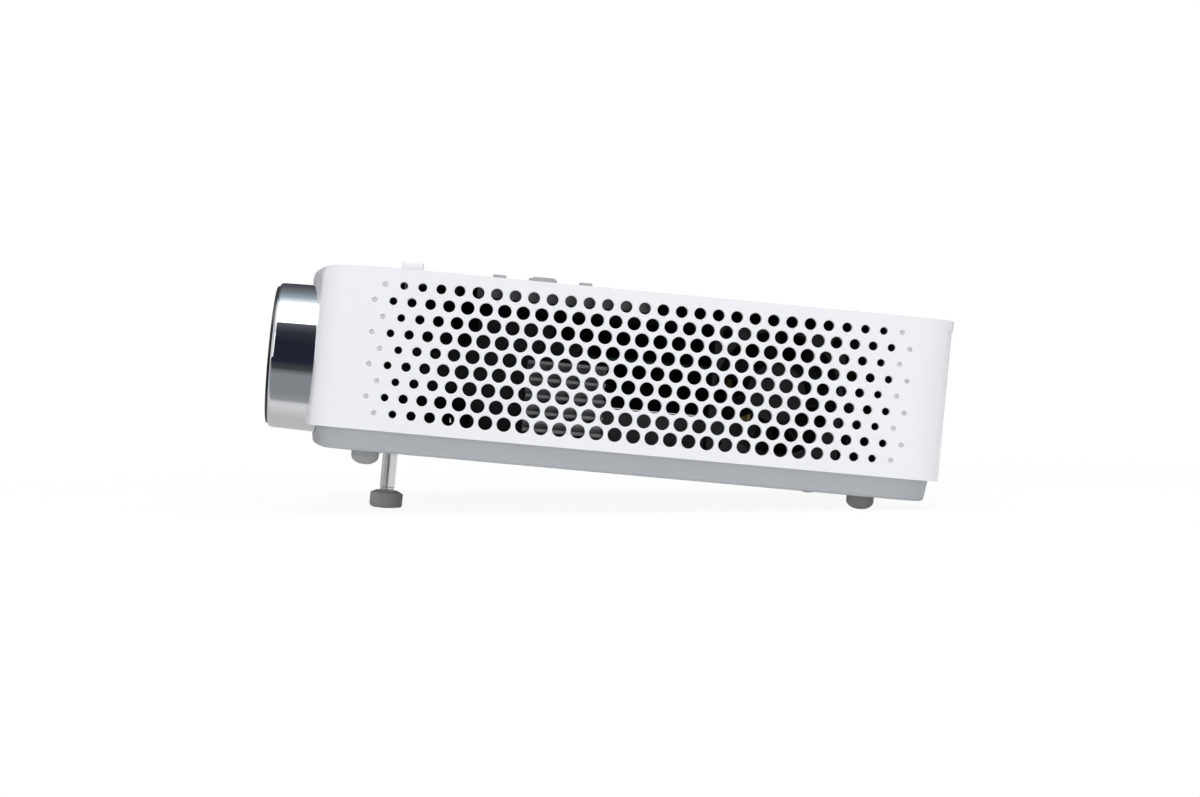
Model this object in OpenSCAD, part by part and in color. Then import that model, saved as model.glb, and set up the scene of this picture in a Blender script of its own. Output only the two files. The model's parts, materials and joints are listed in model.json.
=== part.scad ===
// Compact projector with a slim disc drive in its far side.
// Level frame: the lens looks along -X, the grille is on -Y, the disc tray comes out along +Y, +Z is up.
// The origin is the mouth of the tripod thread, on the underside of the base.

/* [Housing] */
// Length of the white body, from the front's apex to the rear
body_len = 249.4; // [240:0.2:290]
// Width of the white body
body_w = 216; // [212:1:260]
// Height of the white body above the base
body_h = 61.6; // [61:0.1:75]
// Radius of the two rear corners, seen from above
corner_r = 18; // [15:0.5:20]
// Radius of the two front corners, seen from above
front_r = 12; // [10:0.5:16]
// Radius of the front's shallow bow, seen from above
bow_r = 680; // [500:1:900]
// Thickness of every white wall
wall = 3; // [2.4:0.1:3.2]
// Rounding where the front meets the top
brow_r = 3.8; // [3.7:0.1:5]
// Length of the top's slope down to the front
brow_len = 28; // [16:1:32]
// Depth of the top cover's edge across the front
front_lip = 6.2; // [6.2:0.1:8]
// Depth of the top cover's edge across the rear
rear_lip = 4.1; // [3.5:0.1:6]
// Step in from that edge to the rear panel
rear_step = 0.5; // [0.4:0.1:1.2]

/* [Base] */
// Height of the grey base
base_h = 8.1; // [7.5:0.1:12]
// Thickness of the base's floor
floor_t = 2.2; // [1.8:0.1:2.8]
// Step in from the white wall to the base
base_in = 2; // [1.6:0.1:2.2]
// Extra step in at the rear
base_back = 2.4; // [2:0.1:4]
// Extra step in at the front
base_fore = 2.3; // [1.5:0.1:3]
// Draft of the base's sides, from its top to its underside
base_draft = 1; // [0.4:0.1:1.5]
// Rounding of the base's lower edge
base_r = 1.5; // [1:0.1:2.6]
// Diameter of a fixed foot
foot_d = 10.6; // [9:0.1:13]
// Height of a fixed foot
foot_h = 5.4; // [4:0.1:7]
// Fixed feet, in from the ends
foot_in_x = 29.1; // [26:0.1:40]
// Fixed feet, in from the sides
foot_in_y = 22; // [20:0.5:30]
// Depth of the tripod thread
tripod_len = 9; // [7:0.5:12]
// Core diameter of the tripod thread, quarter inch
tripod_d = 5.1; // [5:0.05:5.3]

/* [Tilt foot] */
// Diameter of the steel rod
rod_d = 5.9; // [5:0.1:8]
// Diameter of the rubber pad
pad_d = 13; // [11:0.1:18]
// Height of the rubber pad
pad_h = 7; // [6:0.1:9]
// Drop of the pad below the base, drawn out as in use
pad_drop = 23.2; // [18:0.1:24]
// Foot, back from the front's apex
rod_back = 37.8; // [36:0.1:42]
// Foot, across from the lens axis
rod_side = 26; // [26:0.1:29]

/* [Lens] */
// Lens axis, in from the near side
lens_in = 40; // [40:0.5:44]
// Lens axis, above the underside
lens_z = 33.2; // [32:0.1:35]
// Ring's diameter at its front edge
ring_d = 56; // [54:0.1:60]
// Ring's taper, in degrees a side
ring_taper = 1.5; // [0:0.05:2]
// Ring's reach past the front's apex
ring_out = 9.9; // [8:0.1:20]
// Rounding of the ring's front edge
ring_r = 1.9; // [1:0.1:2.4]
// Ring's bore
ring_bore = 49; // [48:0.1:51]
// Bezel's reach past the ring
bezel_out = 0.9; // [0.5:0.1:1.5]
// Diameter of the front lens
glass_d = 40.4; // [36:0.1:41]
// Diameter of the lens barrel
barrel_d = 32; // [30:0.1:33]
// Focus knob, back from the front's apex
focus_back = 40.4; // [37:0.1:44]
// Height of the focus knob above the top
knob_h = 4.6; // [3:0.1:7]
// Travel of the focus knob, either way
focus_travel = 5.4; // [3:0.1:6]

/* [Grille] */
// Pitch of the holes
pitch = 7; // [7:0.1:7.2]
// Holes in a long row
cols = 30; // [20:1:30]
// Rows of holes
rows = 9; // [5:2:9]
// Largest hole
hole_d = 5.4; // [4.5:0.1:5.8]
// Hole next to a row's end
hole_end_d = 2.9; // [2.5:0.1:3.4]
// Blind dimple at a row's end
dimple_d = 1.5; // [1:0.1:2]
// Depth of a dimple
dimple_depth = 0.8; // [0.4:0.1:1.4]
// Middle row, above the base
grille_up = 30.9; // [30.5:0.1:33]
// Rows of vents above the tray, on the far side
far_rows = 4; // [2:1:4]

/* [Keys] */
// Keys' centre, back from the front's apex
keys_back = 91.2; // [86:0.1:100]
// Radius of the ring of four keys
keys_r = 17; // [16:0.1:19]
// Width of a direction key, along the radius
key_w = 4.8; // [4:0.1:6]
// Angle that a direction key spans
key_span = 26; // [20:1:34]
// Height of the keys above the top
key_h = 2.4; // [1.5:0.1:3]
// Diameter of the centre key
ok_d = 11; // [9:0.1:13]
// Diameter of the power key
power_d = 9; // [7:0.1:11]
// Travel of a key
key_travel = 0.6; // [0.3:0.05:0.6]

/* [Disc drive] */
// Width of the drive
drive_w = 128; // [126:0.5:134]
// Height of the drive
drive_h = 12.7; // [12.5:0.1:14]
// Depth of the drive, behind the far wall's inner face
drive_depth = 129.4; // [128:0.1:134]
// Underside of the drive
drive_z = 11; // [10:0.1:12]
// Diameter of the tray's disc recess
disc_d = 120.8; // [120.4:0.1:121]
// Diameter of the hub's centring boss
hub_d = 14.8; // [14.6:0.05:14.9]
// Travel of the laser sled
sled_travel = 30; // [20:0.5:30]

/* [Clearances] */
// Gap round a piece that slides or presses
gap = 0.3; // [0.2:0.05:0.3]
// Radial gap of a shaft in its bore
fit_gap = 0.06; // [0.03:0.01:0.09]

/* [Hidden] */
$fn = 72;
fine_fn = 256;

x_front = -body_len / 2;
x_rear = body_len / 2;
y_side = body_w / 2;
z_top = base_h + body_h;
z_lid = z_top - wall;

// Centres of the bow and of the upright corners
bow_x = x_front + bow_r;
corner_y = y_side - corner_r;
front_y = y_side - front_r;
corner_xf = bow_x - sqrt(pow(bow_r - front_r, 2) - pow(front_y, 2));
corner_xr = x_rear - corner_r;

// Seams of the side panels: on the bow beside the front corners, and at this angle round the rear ones
seam_y = front_y - 1;
rear_seam = 54;
x_rs = corner_xr + corner_r * sin(rear_seam);

// Start of the top cover's deep front edge
x_fs = corner_xf - front_r / 8;

// Slope of the top down to the front, and the centre of the rounding that ends it
brow_big_r = 350;
brow_z = z_top - brow_big_r + sqrt(pow(brow_big_r - brow_r, 2) - pow(brow_len - brow_r, 2));

far_cols = cols - 5;

tongue_t = 1.4;
tongue_gap = wall + 0.15 - base_in;
tongue_h = 2.4;

lens_y = -y_side + lens_in;
ring_x = x_front - ring_out;
bezel_t = 1.8;
bezel_x1 = bow_x - sqrt(pow(bow_r, 2) - pow(lens_y + ring_bore / 2, 2)) - gap;
focus_x = x_front + focus_back;
barrel_r = barrel_d / 2;
mount_t = 2.3;
mount_r = barrel_r + fit_gap + mount_t;
glass_r = glass_d / 2;
cell_t = 1.7;
cell_r = glass_r + 0.1 + cell_t;
cell_front = x_front - 4;
cell_len = 14;
mount_front = cell_front + cell_len + 4;
engine_x = x_front + 67.7;
engine_len = 43;
engine_w = 44;
engine_h = 46;
engine_z = 10;
engine_y = lens_y - engine_w / 2;
pin_reach = 28;
pin_r = 2;

rod_x = x_front + rod_back;
rod_y = lens_y + rod_side;
guide_t = 2;
guide_h = 20;
rod_top = 14;

fan_size = 50;
fan_t = 15;
fan_x = x_rear - 66.7;
fan_z = 36;
fan_bore = fan_size - 3;
fan_hub_r = 11;
fan_y = -y_side + 5;

keys_x = x_front + keys_back;
keys_y = lens_y;
power_y = keys_y + 38;
flange_t = 0.9;
flange_w = 1;
key_low = z_lid - gap - flange_t;
bracket_t = 1;
bracket_z = z_lid - 4.7;
board_t = 1.2;

drive_y1 = y_side - wall - 1.4;
drive_y0 = y_side - wall - drive_depth;
sheet = 0.6;
tray_w = drive_w - 2 * sheet - 2 * gap;
tray_z = drive_z + sheet + gap + sheet;
tray_top = drive_z + 8.6;
tray_y0 = drive_y0 + 2;
disc_y = drive_y1 - 1.5 - disc_d / 2;
recess = 1.8;
rail_w = 1.9;
rail_h = 3.8;
rail_z = tray_z + 1;
rod2_d = 2;
sled_rod_x = 13;
sled_z = tray_z + 2.4;
screw_x = 20.5;
screw_d = 2.6;
sled_w = 34;
sled_len = 16;
sled_y = disc_y - 22;
window_w = 2 * (screw_x + 2.5);
window_y0 = sled_y - sled_travel - sled_len / 2 - 1;
window_y1 = sled_y + sled_len / 2 + 0.6;
motor_r = 11;
bezel_w = drive_w + 1;
bezel_h = drive_h - 0.4;
slot_edge = 0.4;
eject_x = bezel_w / 2 - 16;

main_z = drive_z + drive_h + 19.3;
main_t = 1.6;
main_x0 = -62;
main_x1 = x_rear - wall - rear_step - 0.9;
main_y0 = drive_y0 - 2.2;
main_y1 = drive_y0 + 110;
socket_x = x_rear - rear_step;
panel_x = socket_x - wall;

// ---- shared outlines ----

// Outline of the body from above, drawn in by i on every side
module plan(i = 0) {
    translate([corner_xf, i - y_side])
        square([corner_xr - corner_xf, body_w - 2 * i]);
    translate([corner_xr - 1, -corner_y])
        square([corner_r - i + 1, 2 * corner_y]);
    for (s = [-1, 1]) {
        translate([corner_xf, s * front_y]) circle(front_r - i);
        translate([corner_xr, s * corner_y]) circle(corner_r - i);
    }
    intersection() {
        translate([bow_x, 0]) circle(bow_r - i, $fn = fine_fn);
        bow_wedge();
    }
}

// The bow's share of the outline, e past the rays through the front corners' centres
module bow_wedge(e = 0) {
    reach = (bow_r + 20) / (bow_r - front_r);
    ray_x = bow_x - (bow_x - corner_xf) * reach;
    near = front_y + e;
    far = front_y * reach + e;
    polygon([[corner_xf + 1, -near], [corner_xf + 1, near], [corner_xf, near],
        [ray_x, far], [ray_x, -far], [corner_xf, -near]]);
}

// Outline of the base from above, drawn in by i
module base_plan(i = 0) {
    intersection() {
        plan(base_in + i);
        translate([-base_back, 0]) plan(base_in + i);
        translate([base_fore, 0]) plan(base_in + i);
    }
}

// Section of the base's edge: out to r, drawn in downwards, with its lower corner rounded
module base_edge(r) {
    foot_r = r - base_draft;
    core_r = foot_r - base_r;
    polygon([[0, 0], [core_r, 0], [core_r, base_r], [foot_r, base_r], [r, base_h], [0, base_h]]);
    translate([core_r, base_r]) circle(base_r);
}

// The base as a solid block with a rounded lower edge
module base_block() {
    fore_x = corner_xf + base_fore;
    back_x = corner_xr - base_back;
    half = y_side - base_in;
    translate([fore_x, 0, 0]) rotate([90, 0, 90]) linear_extrude(back_x - fore_x) {
        base_edge(half);
        mirror([1, 0]) base_edge(half);
    }
    translate([back_x, corner_y, 0]) rotate([90, 0, 0]) linear_extrude(2 * corner_y)
        base_edge(corner_r - base_in);
    for (s = [-1, 1]) {
        translate([fore_x, s * front_y, 0]) rotate_extrude() base_edge(front_r - base_in);
        translate([back_x, s * corner_y, 0]) rotate_extrude() base_edge(corner_r - base_in);
    }
    translate([base_fore, 0, 0]) intersection() {
        translate([bow_x, 0]) rotate_extrude($fn = fine_fn) base_edge(bow_r - base_in);
        linear_extrude(base_h) bow_wedge(0.8);
    }
}

// Section of the top's slope and rounding, turned about the bow's axis
module brow(i) {
    slope_r = bow_r - brow_len;
    slope_z = z_top - brow_big_r;
    far = 1.2;
    translate([bow_x, 0]) rotate_extrude($fn = fine_fn) {
        square([slope_r, z_top - i]);
        square([bow_r - i, brow_z]);
        translate([bow_r - brow_r, brow_z]) circle(brow_r - i);
        intersection() {
            translate([slope_r, slope_z]) circle(brow_big_r - i, $fn = fine_fn);
            polygon([[slope_r - 1, brow_z - 9], [slope_r - 1, z_top - i],
                [slope_r, z_top - i], [slope_r, z_top + 9],
                [slope_r + (brow_len - brow_r) * far, slope_z + (brow_z - slope_z) * far],
                [bow_r - brow_r, brow_z], [bow_r - brow_r, brow_z - 9]]);
        }
    }
}

// The body's outer form drawn in by i, from height z0 up
module body_form(i, z0) {
    intersection() {
        translate([0, 0, z0]) linear_extrude(z_top + 1 - z0) plan(i);
        brow(i);
    }
}

// The white wall's outline from above, drawn in by i
module wall_plan(i = 0) {
    difference() {
        plan(i);
        plan(i + wall);
    }
}

// Where the front panel lies, between the side panels
module front_zone() {
    translate([x_front - 1, -seam_y]) square([corner_xf - x_front + 1, 2 * seam_y]);
}

// The white wall on one side, s, round its front corner and part of the rear one
module side_wall(s) {
    difference() {
        translate([0, 0, base_h]) linear_extrude(z_lid - base_h) difference() {
            intersection() {
                wall_plan();
                translate([x_front - 1, s > 0 ? 0 : -y_side - 1]) square([x_rs - x_front + 1, y_side + 1]);
            }
            front_zone();
        }
        box(x_front - 1, x_fs, -y_side - 1, y_side + 1, z_top - front_lip, z_top);
    }
}

module box(x0, x1, y0, y1, z0, z1) {
    translate([x0, y0, z0]) cube([x1 - x0, y1 - y0, z1 - z0]);
}

module round_rect(w, h, r) {
    square([w - 2 * r, h], center = true);
    square([w, h - 2 * r], center = true);
    for (x = [-1, 1], y = [-1, 1])
        translate([x * (w / 2 - r), y * (h / 2 - r)]) circle(r);
}

// Points its child's z axis forward along the lens axis, from x
module on_lens(x) {
    translate([x, lens_y, lens_z]) rotate([0, -90, 0]) children();
}

// Points its child's z axis out of the rear
module out_rear(x, y, z) {
    translate([x, y, z]) rotate([0, 90, 0]) children();
}

// ---- grille ----

// Largest hole of a row: the two top rows are smaller
function row_d(row) = row == 0 ? hole_d - 0.9 : row == 1 ? hole_d - 0.3 : hole_d;

// Hole e places in from a row's end
function graded_d(e, row) = hole_end_d + (row_d(row) - hole_end_d) * min(e - 1, 4) / 4;

grille_shift = 4.8;

function grille_x() = (x_front + x_rear) / 2 + grille_shift;

function row_z(row) = base_h + grille_up + ((rows - 1) / 2 - row) * pitch * sqrt(3) / 2;

// Rows r0 to r1 of holes on one side, the long rows n holes long, each row ending in blind dimples
module lattice(r0, r1, n, side) {
    for (row = [r0 : r1]) {
        count = row % 2 == 1 ? n : n - 1;
        z = row_z(row);
        for (k = [0 : count - 1]) {
            x = grille_x() + (k - (count - 1) / 2) * pitch;
            e = min(k, count - 1 - k);
            if (e == 0)
                translate([x, side * (y_side - dimple_depth), z]) rotate([-90 * side, 0, 0])
                    cylinder(d = dimple_d, h = corner_r);
            else
                translate([x, side * (y_side - corner_r / 2), z]) rotate([-90 * side, 0, 0])
                    cylinder(d = graded_d(e, row), h = corner_r);
        }
    }
}

// ---- housing ----

module left_panel() {
    color("white") difference() {
        side_wall(-1);
        lattice(0, rows - 1, cols, -1);
    }
}

module right_panel() {
    color("white") difference() {
        side_wall(1);
        far_window(gap / 2, wall + 1);
        box(-bezel_w / 2 - slot_edge, bezel_w / 2 + slot_edge, y_side - wall - 1, y_side + 1,
            drive_z + (drive_h - bezel_h) / 2 - slot_edge, drive_z + (drive_h + bezel_h) / 2 + slot_edge);
    }
}

// The far side's vent plate, spread by g, from the outer face inwards
module far_window(g, depth) {
    half = (far_cols - 1) / 2 * pitch + 4;
    box(grille_x() - half - g, grille_x() + half + g, y_side - depth, y_side + g,
        row_z(far_rows) - 4 - g, row_z(1) + 4 + g);
}

module far_grille() {
    color("white") difference() {
        far_window(0, wall);
        lattice(1, far_rows, far_cols, 1);
    }
}

// Outline of a direction key, spread by g on every side
module key_outline(g) {
    half = key_span / 2 + g / keys_r * 180 / PI;
    far = keys_r + key_w;
    intersection() {
        difference() {
            circle(keys_r + key_w / 2 + g);
            circle(keys_r - key_w / 2 - g);
        }
        polygon([[0, 0], [far * cos(half), far * sin(half)],
            [far * 1.4, 0], [far * cos(half), -far * sin(half)]]);
    }
}

module top_cover() {
    low = z_top - max(front_lip, rear_lip);
    color("white") difference() {
        intersection() {
            difference() {
                body_form(0, low);
                body_form(wall, low - 1);
            }
            union() {
                box(x_front - 1, x_rear + 1, -y_side - 1, y_side + 1, z_lid, z_top + 1);
                box(x_front - 1, x_fs, -y_side - 1, y_side + 1, z_top - front_lip, z_top + 1);
                box(x_rs, x_rear + 1, -y_side - 1, y_side + 1, z_top - rear_lip, z_top + 1);
                translate([0, 0, low]) linear_extrude(z_top - low) plan(wall + 0.2);
            }
        }
        translate([0, 0, z_lid - 1]) linear_extrude(wall + 2) {
            translate([keys_x, keys_y]) {
                for (a = [0, 90, 180, 270]) rotate(a) key_outline(gap);
                circle(ok_d / 2 + gap);
            }
            translate([keys_x, power_y]) circle(power_d / 2 + gap);
            translate([focus_x, lens_y]) square([4 + 2 * gap, 6 + 2 * focus_travel + 2 * gap], center = true);
        }
    }
}

// Ledge that closes the step over the base, and its reach past the base's edge
ledge_t = 1.5;
ledge_in = 0.6;

module front_panel() {
    ir_y = y_side / 2;
    color("white") difference() {
        union() {
            translate([0, 0, base_h]) linear_extrude(body_h - front_lip) intersection() {
                wall_plan();
                front_zone();
            }
            translate([0, 0, base_h]) linear_extrude(ledge_t) intersection() {
                difference() {
                    plan(wall - 0.1);
                    base_plan(ledge_in);
                }
                translate([x_front, 1 - seam_y]) square([front_r, 2 * seam_y - 2]);
            }
        }
        on_lens(x_front + 15) cylinder(d = 2 * cell_r + 2.6, h = 20);
        translate([x_front - 2, ir_y, lens_z]) rotate([0, 90, 0]) cylinder(d = ir_d, h = 12);
    }
}

ir_d = 9;

module ir_window() {
    color([0.25, 0.05, 0.08]) intersection() {
        translate([x_front - 1, y_side / 2, lens_z]) rotate([0, 90, 0]) cylinder(d = ir_d - 0.1, h = wall + 8);
        translate([0, 0, base_h]) linear_extrude(body_h) plan(0);
    }
}

module rear_panel() {
    shelf_x = x_rear - base_in - base_back - ledge_in;
    slot_w = 2.4;
    slot_pitch = 4.5;
    color("white") difference() {
        union() {
            translate([0, 0, base_h]) linear_extrude(body_h - rear_lip) intersection() {
                wall_plan(rear_step);
                translate([x_rs, -y_side]) square([corner_r, body_w]);
            }
            box(shelf_x, panel_x + 0.5, -corner_y, corner_y, base_h, base_h + ledge_t);
        }
        for (s = sockets) if (s[2] > 0) box(panel_x - 1, socket_x + 1, s[0] - s[1] / 2, s[0] + s[1] / 2,
            main_z + main_t, main_z + main_t + s[2]);
        for (s = jacks) out_rear(panel_x - 1, s, jack_z) cylinder(d = jack_d + 2.6, h = wall + 2);
        out_rear(panel_x - 1, inlet_y, inlet_z) cylinder(d = inlet_d + 2.6, h = wall + 2);
        for (k = [0 : 13]) translate([0, 6 - corner_y + slot_pitch * k, 0])
            box(panel_x - 1, socket_x + 1, 0, slot_w, 18, 52);
    }
}

module base_tray() {
    color([0.67, 0.68, 0.69]) difference() {
        union() {
            difference() {
                base_block();
                translate([0, 0, floor_t]) linear_extrude(base_h) base_plan(wall);
            }
            translate([0, 0, base_h - 1]) linear_extrude(tongue_h + 1) difference() {
                base_plan(tongue_gap);
                base_plan(tongue_gap + tongue_t);
            }
            cylinder(d = tripod_d + 5, h = tripod_len + 1.4);
        }
        translate([0, 0, -1]) cylinder(d = tripod_d, h = tripod_len + 1);
        translate([rod_x, rod_y, -1]) cylinder(d = pad_d + 1, h = floor_t + 2);
        at_posts() {
            translate([0, 0, -1]) cylinder(d = screw_shank + 0.4, h = floor_t + 2);
            translate([0, 0, -1]) cylinder(d = screw_head + 0.4, h = 1 + screw_sink);
        }
        at_feet() translate([0, 0, -1]) cylinder(d = foot_d + 0.2, h = 1 + foot_sink);
    }
}

// ---- fasteners and feet ----

post_d = 5;
screw_shank = 2.6;
screw_head = 5;
screw_sink = 1.4;
foot_sink = 0.6;

module at_posts() {
    for (s = [-1, 1]) {
        translate([corner_xf + 1.8, s * (front_y + 1), 0]) children();
        translate([corner_xr - 1, s * (corner_y + 7), 0]) children();
    }
}

module at_feet() {
    for (x = [-1, 1], y = [-1, 1])
        translate([x * (x_rear - foot_in_x), y * (y_side - foot_in_y), 0]) children();
}

module standoffs() {
    color("silver") intersection() {
        at_posts() translate([0, 0, floor_t]) difference() {
            cylinder(d = post_d, h = z_lid - floor_t);
            translate([0, 0, -1]) cylinder(d = screw_shank + 0.1, h = 9);
        }
        body_form(wall + fit_gap, 0);
    }
}

module case_screws() {
    slot = 0.8;
    color("dimgray") at_posts() difference() {
        union() {
            translate([0, 0, screw_sink - 1.3]) cylinder(d = screw_head, h = 1.3);
            translate([0, 0, screw_sink - 0.5]) cylinder(d = screw_shank, h = 8);
        }
        for (a = [0, 90]) rotate(a) translate([0, 0, screw_sink - 1.3])
            cube([screw_head * 0.6, slot, 1.4], center = true);
    }
}

module rubber_feet() {
    dome_r = 13;
    color([0.45, 0.46, 0.46]) at_feet() intersection() {
        translate([0, 0, -foot_h]) cylinder(d = foot_d, h = foot_h + foot_sink);
        translate([0, 0, dome_r - foot_h]) sphere(dome_r);
    }
}

// ---- tilt foot ----

function guide_r() = rod_d / 2 + fit_gap + guide_t;

module foot_guide() {
    color([0.2, 0.2, 0.21]) translate([rod_x, rod_y, floor_t]) difference() {
        union() {
            cylinder(r = guide_r(), h = guide_h);
            cylinder(d = pad_d + 6, h = 1.6);
        }
        translate([0, 0, -1]) cylinder(r = rod_d / 2 + fit_gap, h = guide_h + 2);
    }
}

module foot_rod() {
    color("silver") translate([rod_x, rod_y, pad_h - pad_drop - 2]) {
        cylinder(d = rod_d, h = rod_top + pad_drop - pad_h + 1.4);
        cylinder(d = rod_d - 1.2, h = rod_top + pad_drop - pad_h + 2);
    }
}

module foot_pad() {
    shoulder = 2.2;
    lower_r = 1.8;
    color([0.42, 0.42, 0.42]) translate([rod_x, rod_y, -pad_drop]) difference() {
        rotate_extrude() {
            polygon([[0, 0], [pad_d / 2 - lower_r, 0], [pad_d / 2 - lower_r, lower_r], [pad_d / 2, lower_r],
                [pad_d / 2, pad_h - shoulder / 2], [pad_d / 2 - shoulder, pad_h], [0, pad_h]]);
            translate([pad_d / 2 - lower_r, lower_r]) circle(lower_r);
        }
        translate([0, 0, pad_h - 2]) cylinder(d = rod_d, h = 3);
    }
}

// ---- lens ----

module lens_ring() {
    len = 28;
    front_r = ring_d / 2;
    back_r = front_r + len * tan(ring_taper);
    color([0.8, 0.82, 0.85]) difference() {
        on_lens(ring_x + len) rotate_extrude() {
            polygon([[ring_bore / 2, 0], [back_r, 0], [front_r, len - ring_r], [front_r - ring_r, len - ring_r],
                [front_r - ring_r, len], [ring_bore / 2, len]]);
            translate([front_r - ring_r, len - ring_r]) intersection() {
                circle(ring_r);
                square(ring_r);
            }
        }
        translate([0, 0, -base_h]) linear_extrude(z_top + base_h) {
            intersection() {
                translate([bow_x, 0]) circle(bow_r, $fn = fine_fn);
                translate([x_front - 1, -y_side]) square([body_len / 2, y_side]);
            }
        }
    }
}

module lens_bezel() {
    lip_r = ring_d / 2 - ring_r + 0.3;
    tube_r = ring_bore / 2 - 0.3;
    len = bezel_x1 - ring_x;
    inner = tube_r - bezel_t;
    color([0.06, 0.06, 0.06]) on_lens(ring_x + len) difference() {
        union() {
            cylinder(r = tube_r, h = len + bezel_out / 2);
            translate([0, 0, len]) cylinder(r1 = lip_r, r2 = lip_r - 0.4, h = bezel_out);
        }
        translate([0, 0, -1]) cylinder(r = inner, h = len + 4);
        for (k = [0 : 4]) translate([0, 0, len + bezel_out - 1 - 1.6 * k])
            cylinder(r1 = inner + 1 - 0.2 * k, r2 = inner + 1.3 - 0.2 * k, h = 1.1);
    }
}

module lens_barrel() {
    back = focus_x + 14;
    step_x = cell_front + cell_len;
    color([0.1, 0.1, 0.11]) difference() {
        union() {
            on_lens(step_x) cylinder(r = cell_r, h = cell_len);
            on_lens(back) cylinder(r = barrel_r, h = back - step_x + 1);
        }
        on_lens(cell_front + 8) cylinder(r = glass_r + 0.1, h = 9);
        on_lens(step_x - 2) cylinder(r = glass_r - 2, h = cell_len);
        on_lens(back + 1) cylinder(r = barrel_r - 1.8, h = back - cell_front);
    }
}

module front_lens() {
    seat_x = cell_front + 8;
    ball_r = 36;
    color([0.35, 0.42, 0.5, 0.5]) intersection() {
        on_lens(seat_x) cylinder(r = glass_r, h = 8);
        translate([seat_x - 7.5 + ball_r, lens_y, lens_z]) sphere(ball_r, $fn = fine_fn);
    }
}

module rear_lens() {
    r = barrel_r - 1.9;
    ball_r = 30;
    mid_x = focus_x + 9;
    color([0.35, 0.42, 0.5, 0.5]) intersection() {
        on_lens(mid_x + 3) cylinder(r = r, h = 8);
        translate([mid_x - 3 + ball_r, lens_y, lens_z]) sphere(ball_r, $fn = fine_fn);
    }
}

module lens_mount() {
    color([0.12, 0.12, 0.13]) difference() {
        union() {
            on_lens(engine_x) cylinder(r = mount_r, h = engine_x - mount_front);
            on_lens(engine_x) cylinder(r = mount_r + 3.6, h = 3);
        }
        on_lens(engine_x + 1) cylinder(r = barrel_r + fit_gap, h = engine_x - mount_front + 2);
    }
}

module focus_ring() {
    width = 11;
    inner = mount_r + fit_gap;
    outer = inner + 2;
    color([0.15, 0.15, 0.16]) translate([0, lens_y, lens_z]) {
        translate([focus_x + width / 2, 0, 0]) rotate([0, -90, 0]) difference() {
            cylinder(r = outer, h = width);
            translate([0, 0, -1]) cylinder(r = inner, h = width + 2);
            for (a = [0 : 12 : 359]) rotate(a + 6) translate([outer, 0, -1]) cylinder(r = 0.4, h = width + 2);
        }
        box(focus_x - 1.5, focus_x + 1.5, -1.2, 1.2, inner + 0.4, pin_reach);
        translate([focus_x + 1.5, 0, pin_reach]) rotate([0, -90, 0]) cylinder(r = pin_r, h = 3);
    }
}

module focus_slider() {
    stem = 4;
    prong_y = pin_r + 0.2;
    plate_z = z_lid - gap - 1.2;
    pin_z = lens_z + pin_reach;
    color([0.93, 0.93, 0.94]) translate([focus_x, lens_y, 0]) {
        box(-5, 5, -9, 9, plate_z, plate_z + 1.2);
        box(-stem / 2, stem / 2, -3, 3, plate_z + 1, z_top + gap + 0.5);
        for (s = [-1, 1]) box(-2.5, 2.5, s > 0 ? prong_y : -prong_y - 2.4, s > 0 ? prong_y + 2.4 : -prong_y,
            pin_z - 1.6, plate_z + 0.1);
        translate([0, 0, z_top + gap]) difference() {
            linear_extrude(knob_h - gap) round_rect(8.2, 11, 0.8);
            for (k = [-2 : 2]) translate([0, 2 * k, knob_h - gap]) cube([5.6, 0.8, 0.8], center = true);
        }
    }
}

// ---- light and cooling ----

module light_engine() {
    foot_w = 7;
    color([0.18, 0.18, 0.19]) translate([engine_x, engine_y, 0]) {
        difference() {
            union() {
                box(0, engine_len, 0, engine_w, engine_z, engine_z + engine_h - 8);
                box(0, engine_len - 14, 4, engine_w - 4, engine_z + 8, engine_z + engine_h);
                for (x = [2, engine_len - 2 - foot_w], y = [2, engine_w - 2 - foot_w])
                    box(x, x + foot_w, y, y + foot_w, floor_t, engine_z + 1);
            }
            translate([-1, engine_w / 2, lens_z]) rotate([0, 90, 0]) cylinder(r = barrel_r - 4, h = 12);
        }
    }
}

module heat_sink() {
    fin_t = 1.2;
    fin_gap = 3.2;
    plate_t = 3;
    long = 30;
    x0 = engine_x + 20;
    tip_y = -y_side + wall + 1.9;
    color("silver") {
        box(x0, x0 + long, engine_y - plate_t, engine_y, engine_z, engine_z + 9.4 * fin_gap);
        for (k = [0 : 9]) box(x0, x0 + long, tip_y, engine_y - plate_t + 0.1,
            engine_z + fin_gap * k, engine_z + fin_gap * k + fin_t);
    }
}

shaft_r = 1;

module fan_frame() {
    half = fan_size / 2;
    color([0.08, 0.08, 0.08]) translate([fan_x, fan_y, fan_z]) {
        difference() {
            box(-half, half, 0, fan_t, -half, half);
            translate([0, -1, 0]) rotate([-90, 0, 0]) cylinder(d = fan_bore, h = fan_t + 2);
            for (x = [-1, 1], z = [-1, 1]) translate([x * (half - 4), -1, z * (half - 4)])
                rotate([-90, 0, 0]) cylinder(d = 3.4, h = fan_t + 2);
        }
        translate([0, fan_t - 1.5, 0]) rotate([-90, 0, 0]) cylinder(r = fan_hub_r, h = 1.5);
        for (a = [90, 210, 330]) rotate([0, a, 0])
            box(fan_hub_r - 3, fan_bore / 2 + 0.5, fan_t - 1.5, fan_t, -1.2, 1.2);
        translate([0, 2.5, 0]) rotate([-90, 0, 0]) cylinder(r = shaft_r, h = fan_t - 3);
        for (x = [-half + 2, half - 8]) box(x, x + 6, 2, fan_t - 2, floor_t - fan_z, -half + 0.5);
    }
}

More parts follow.
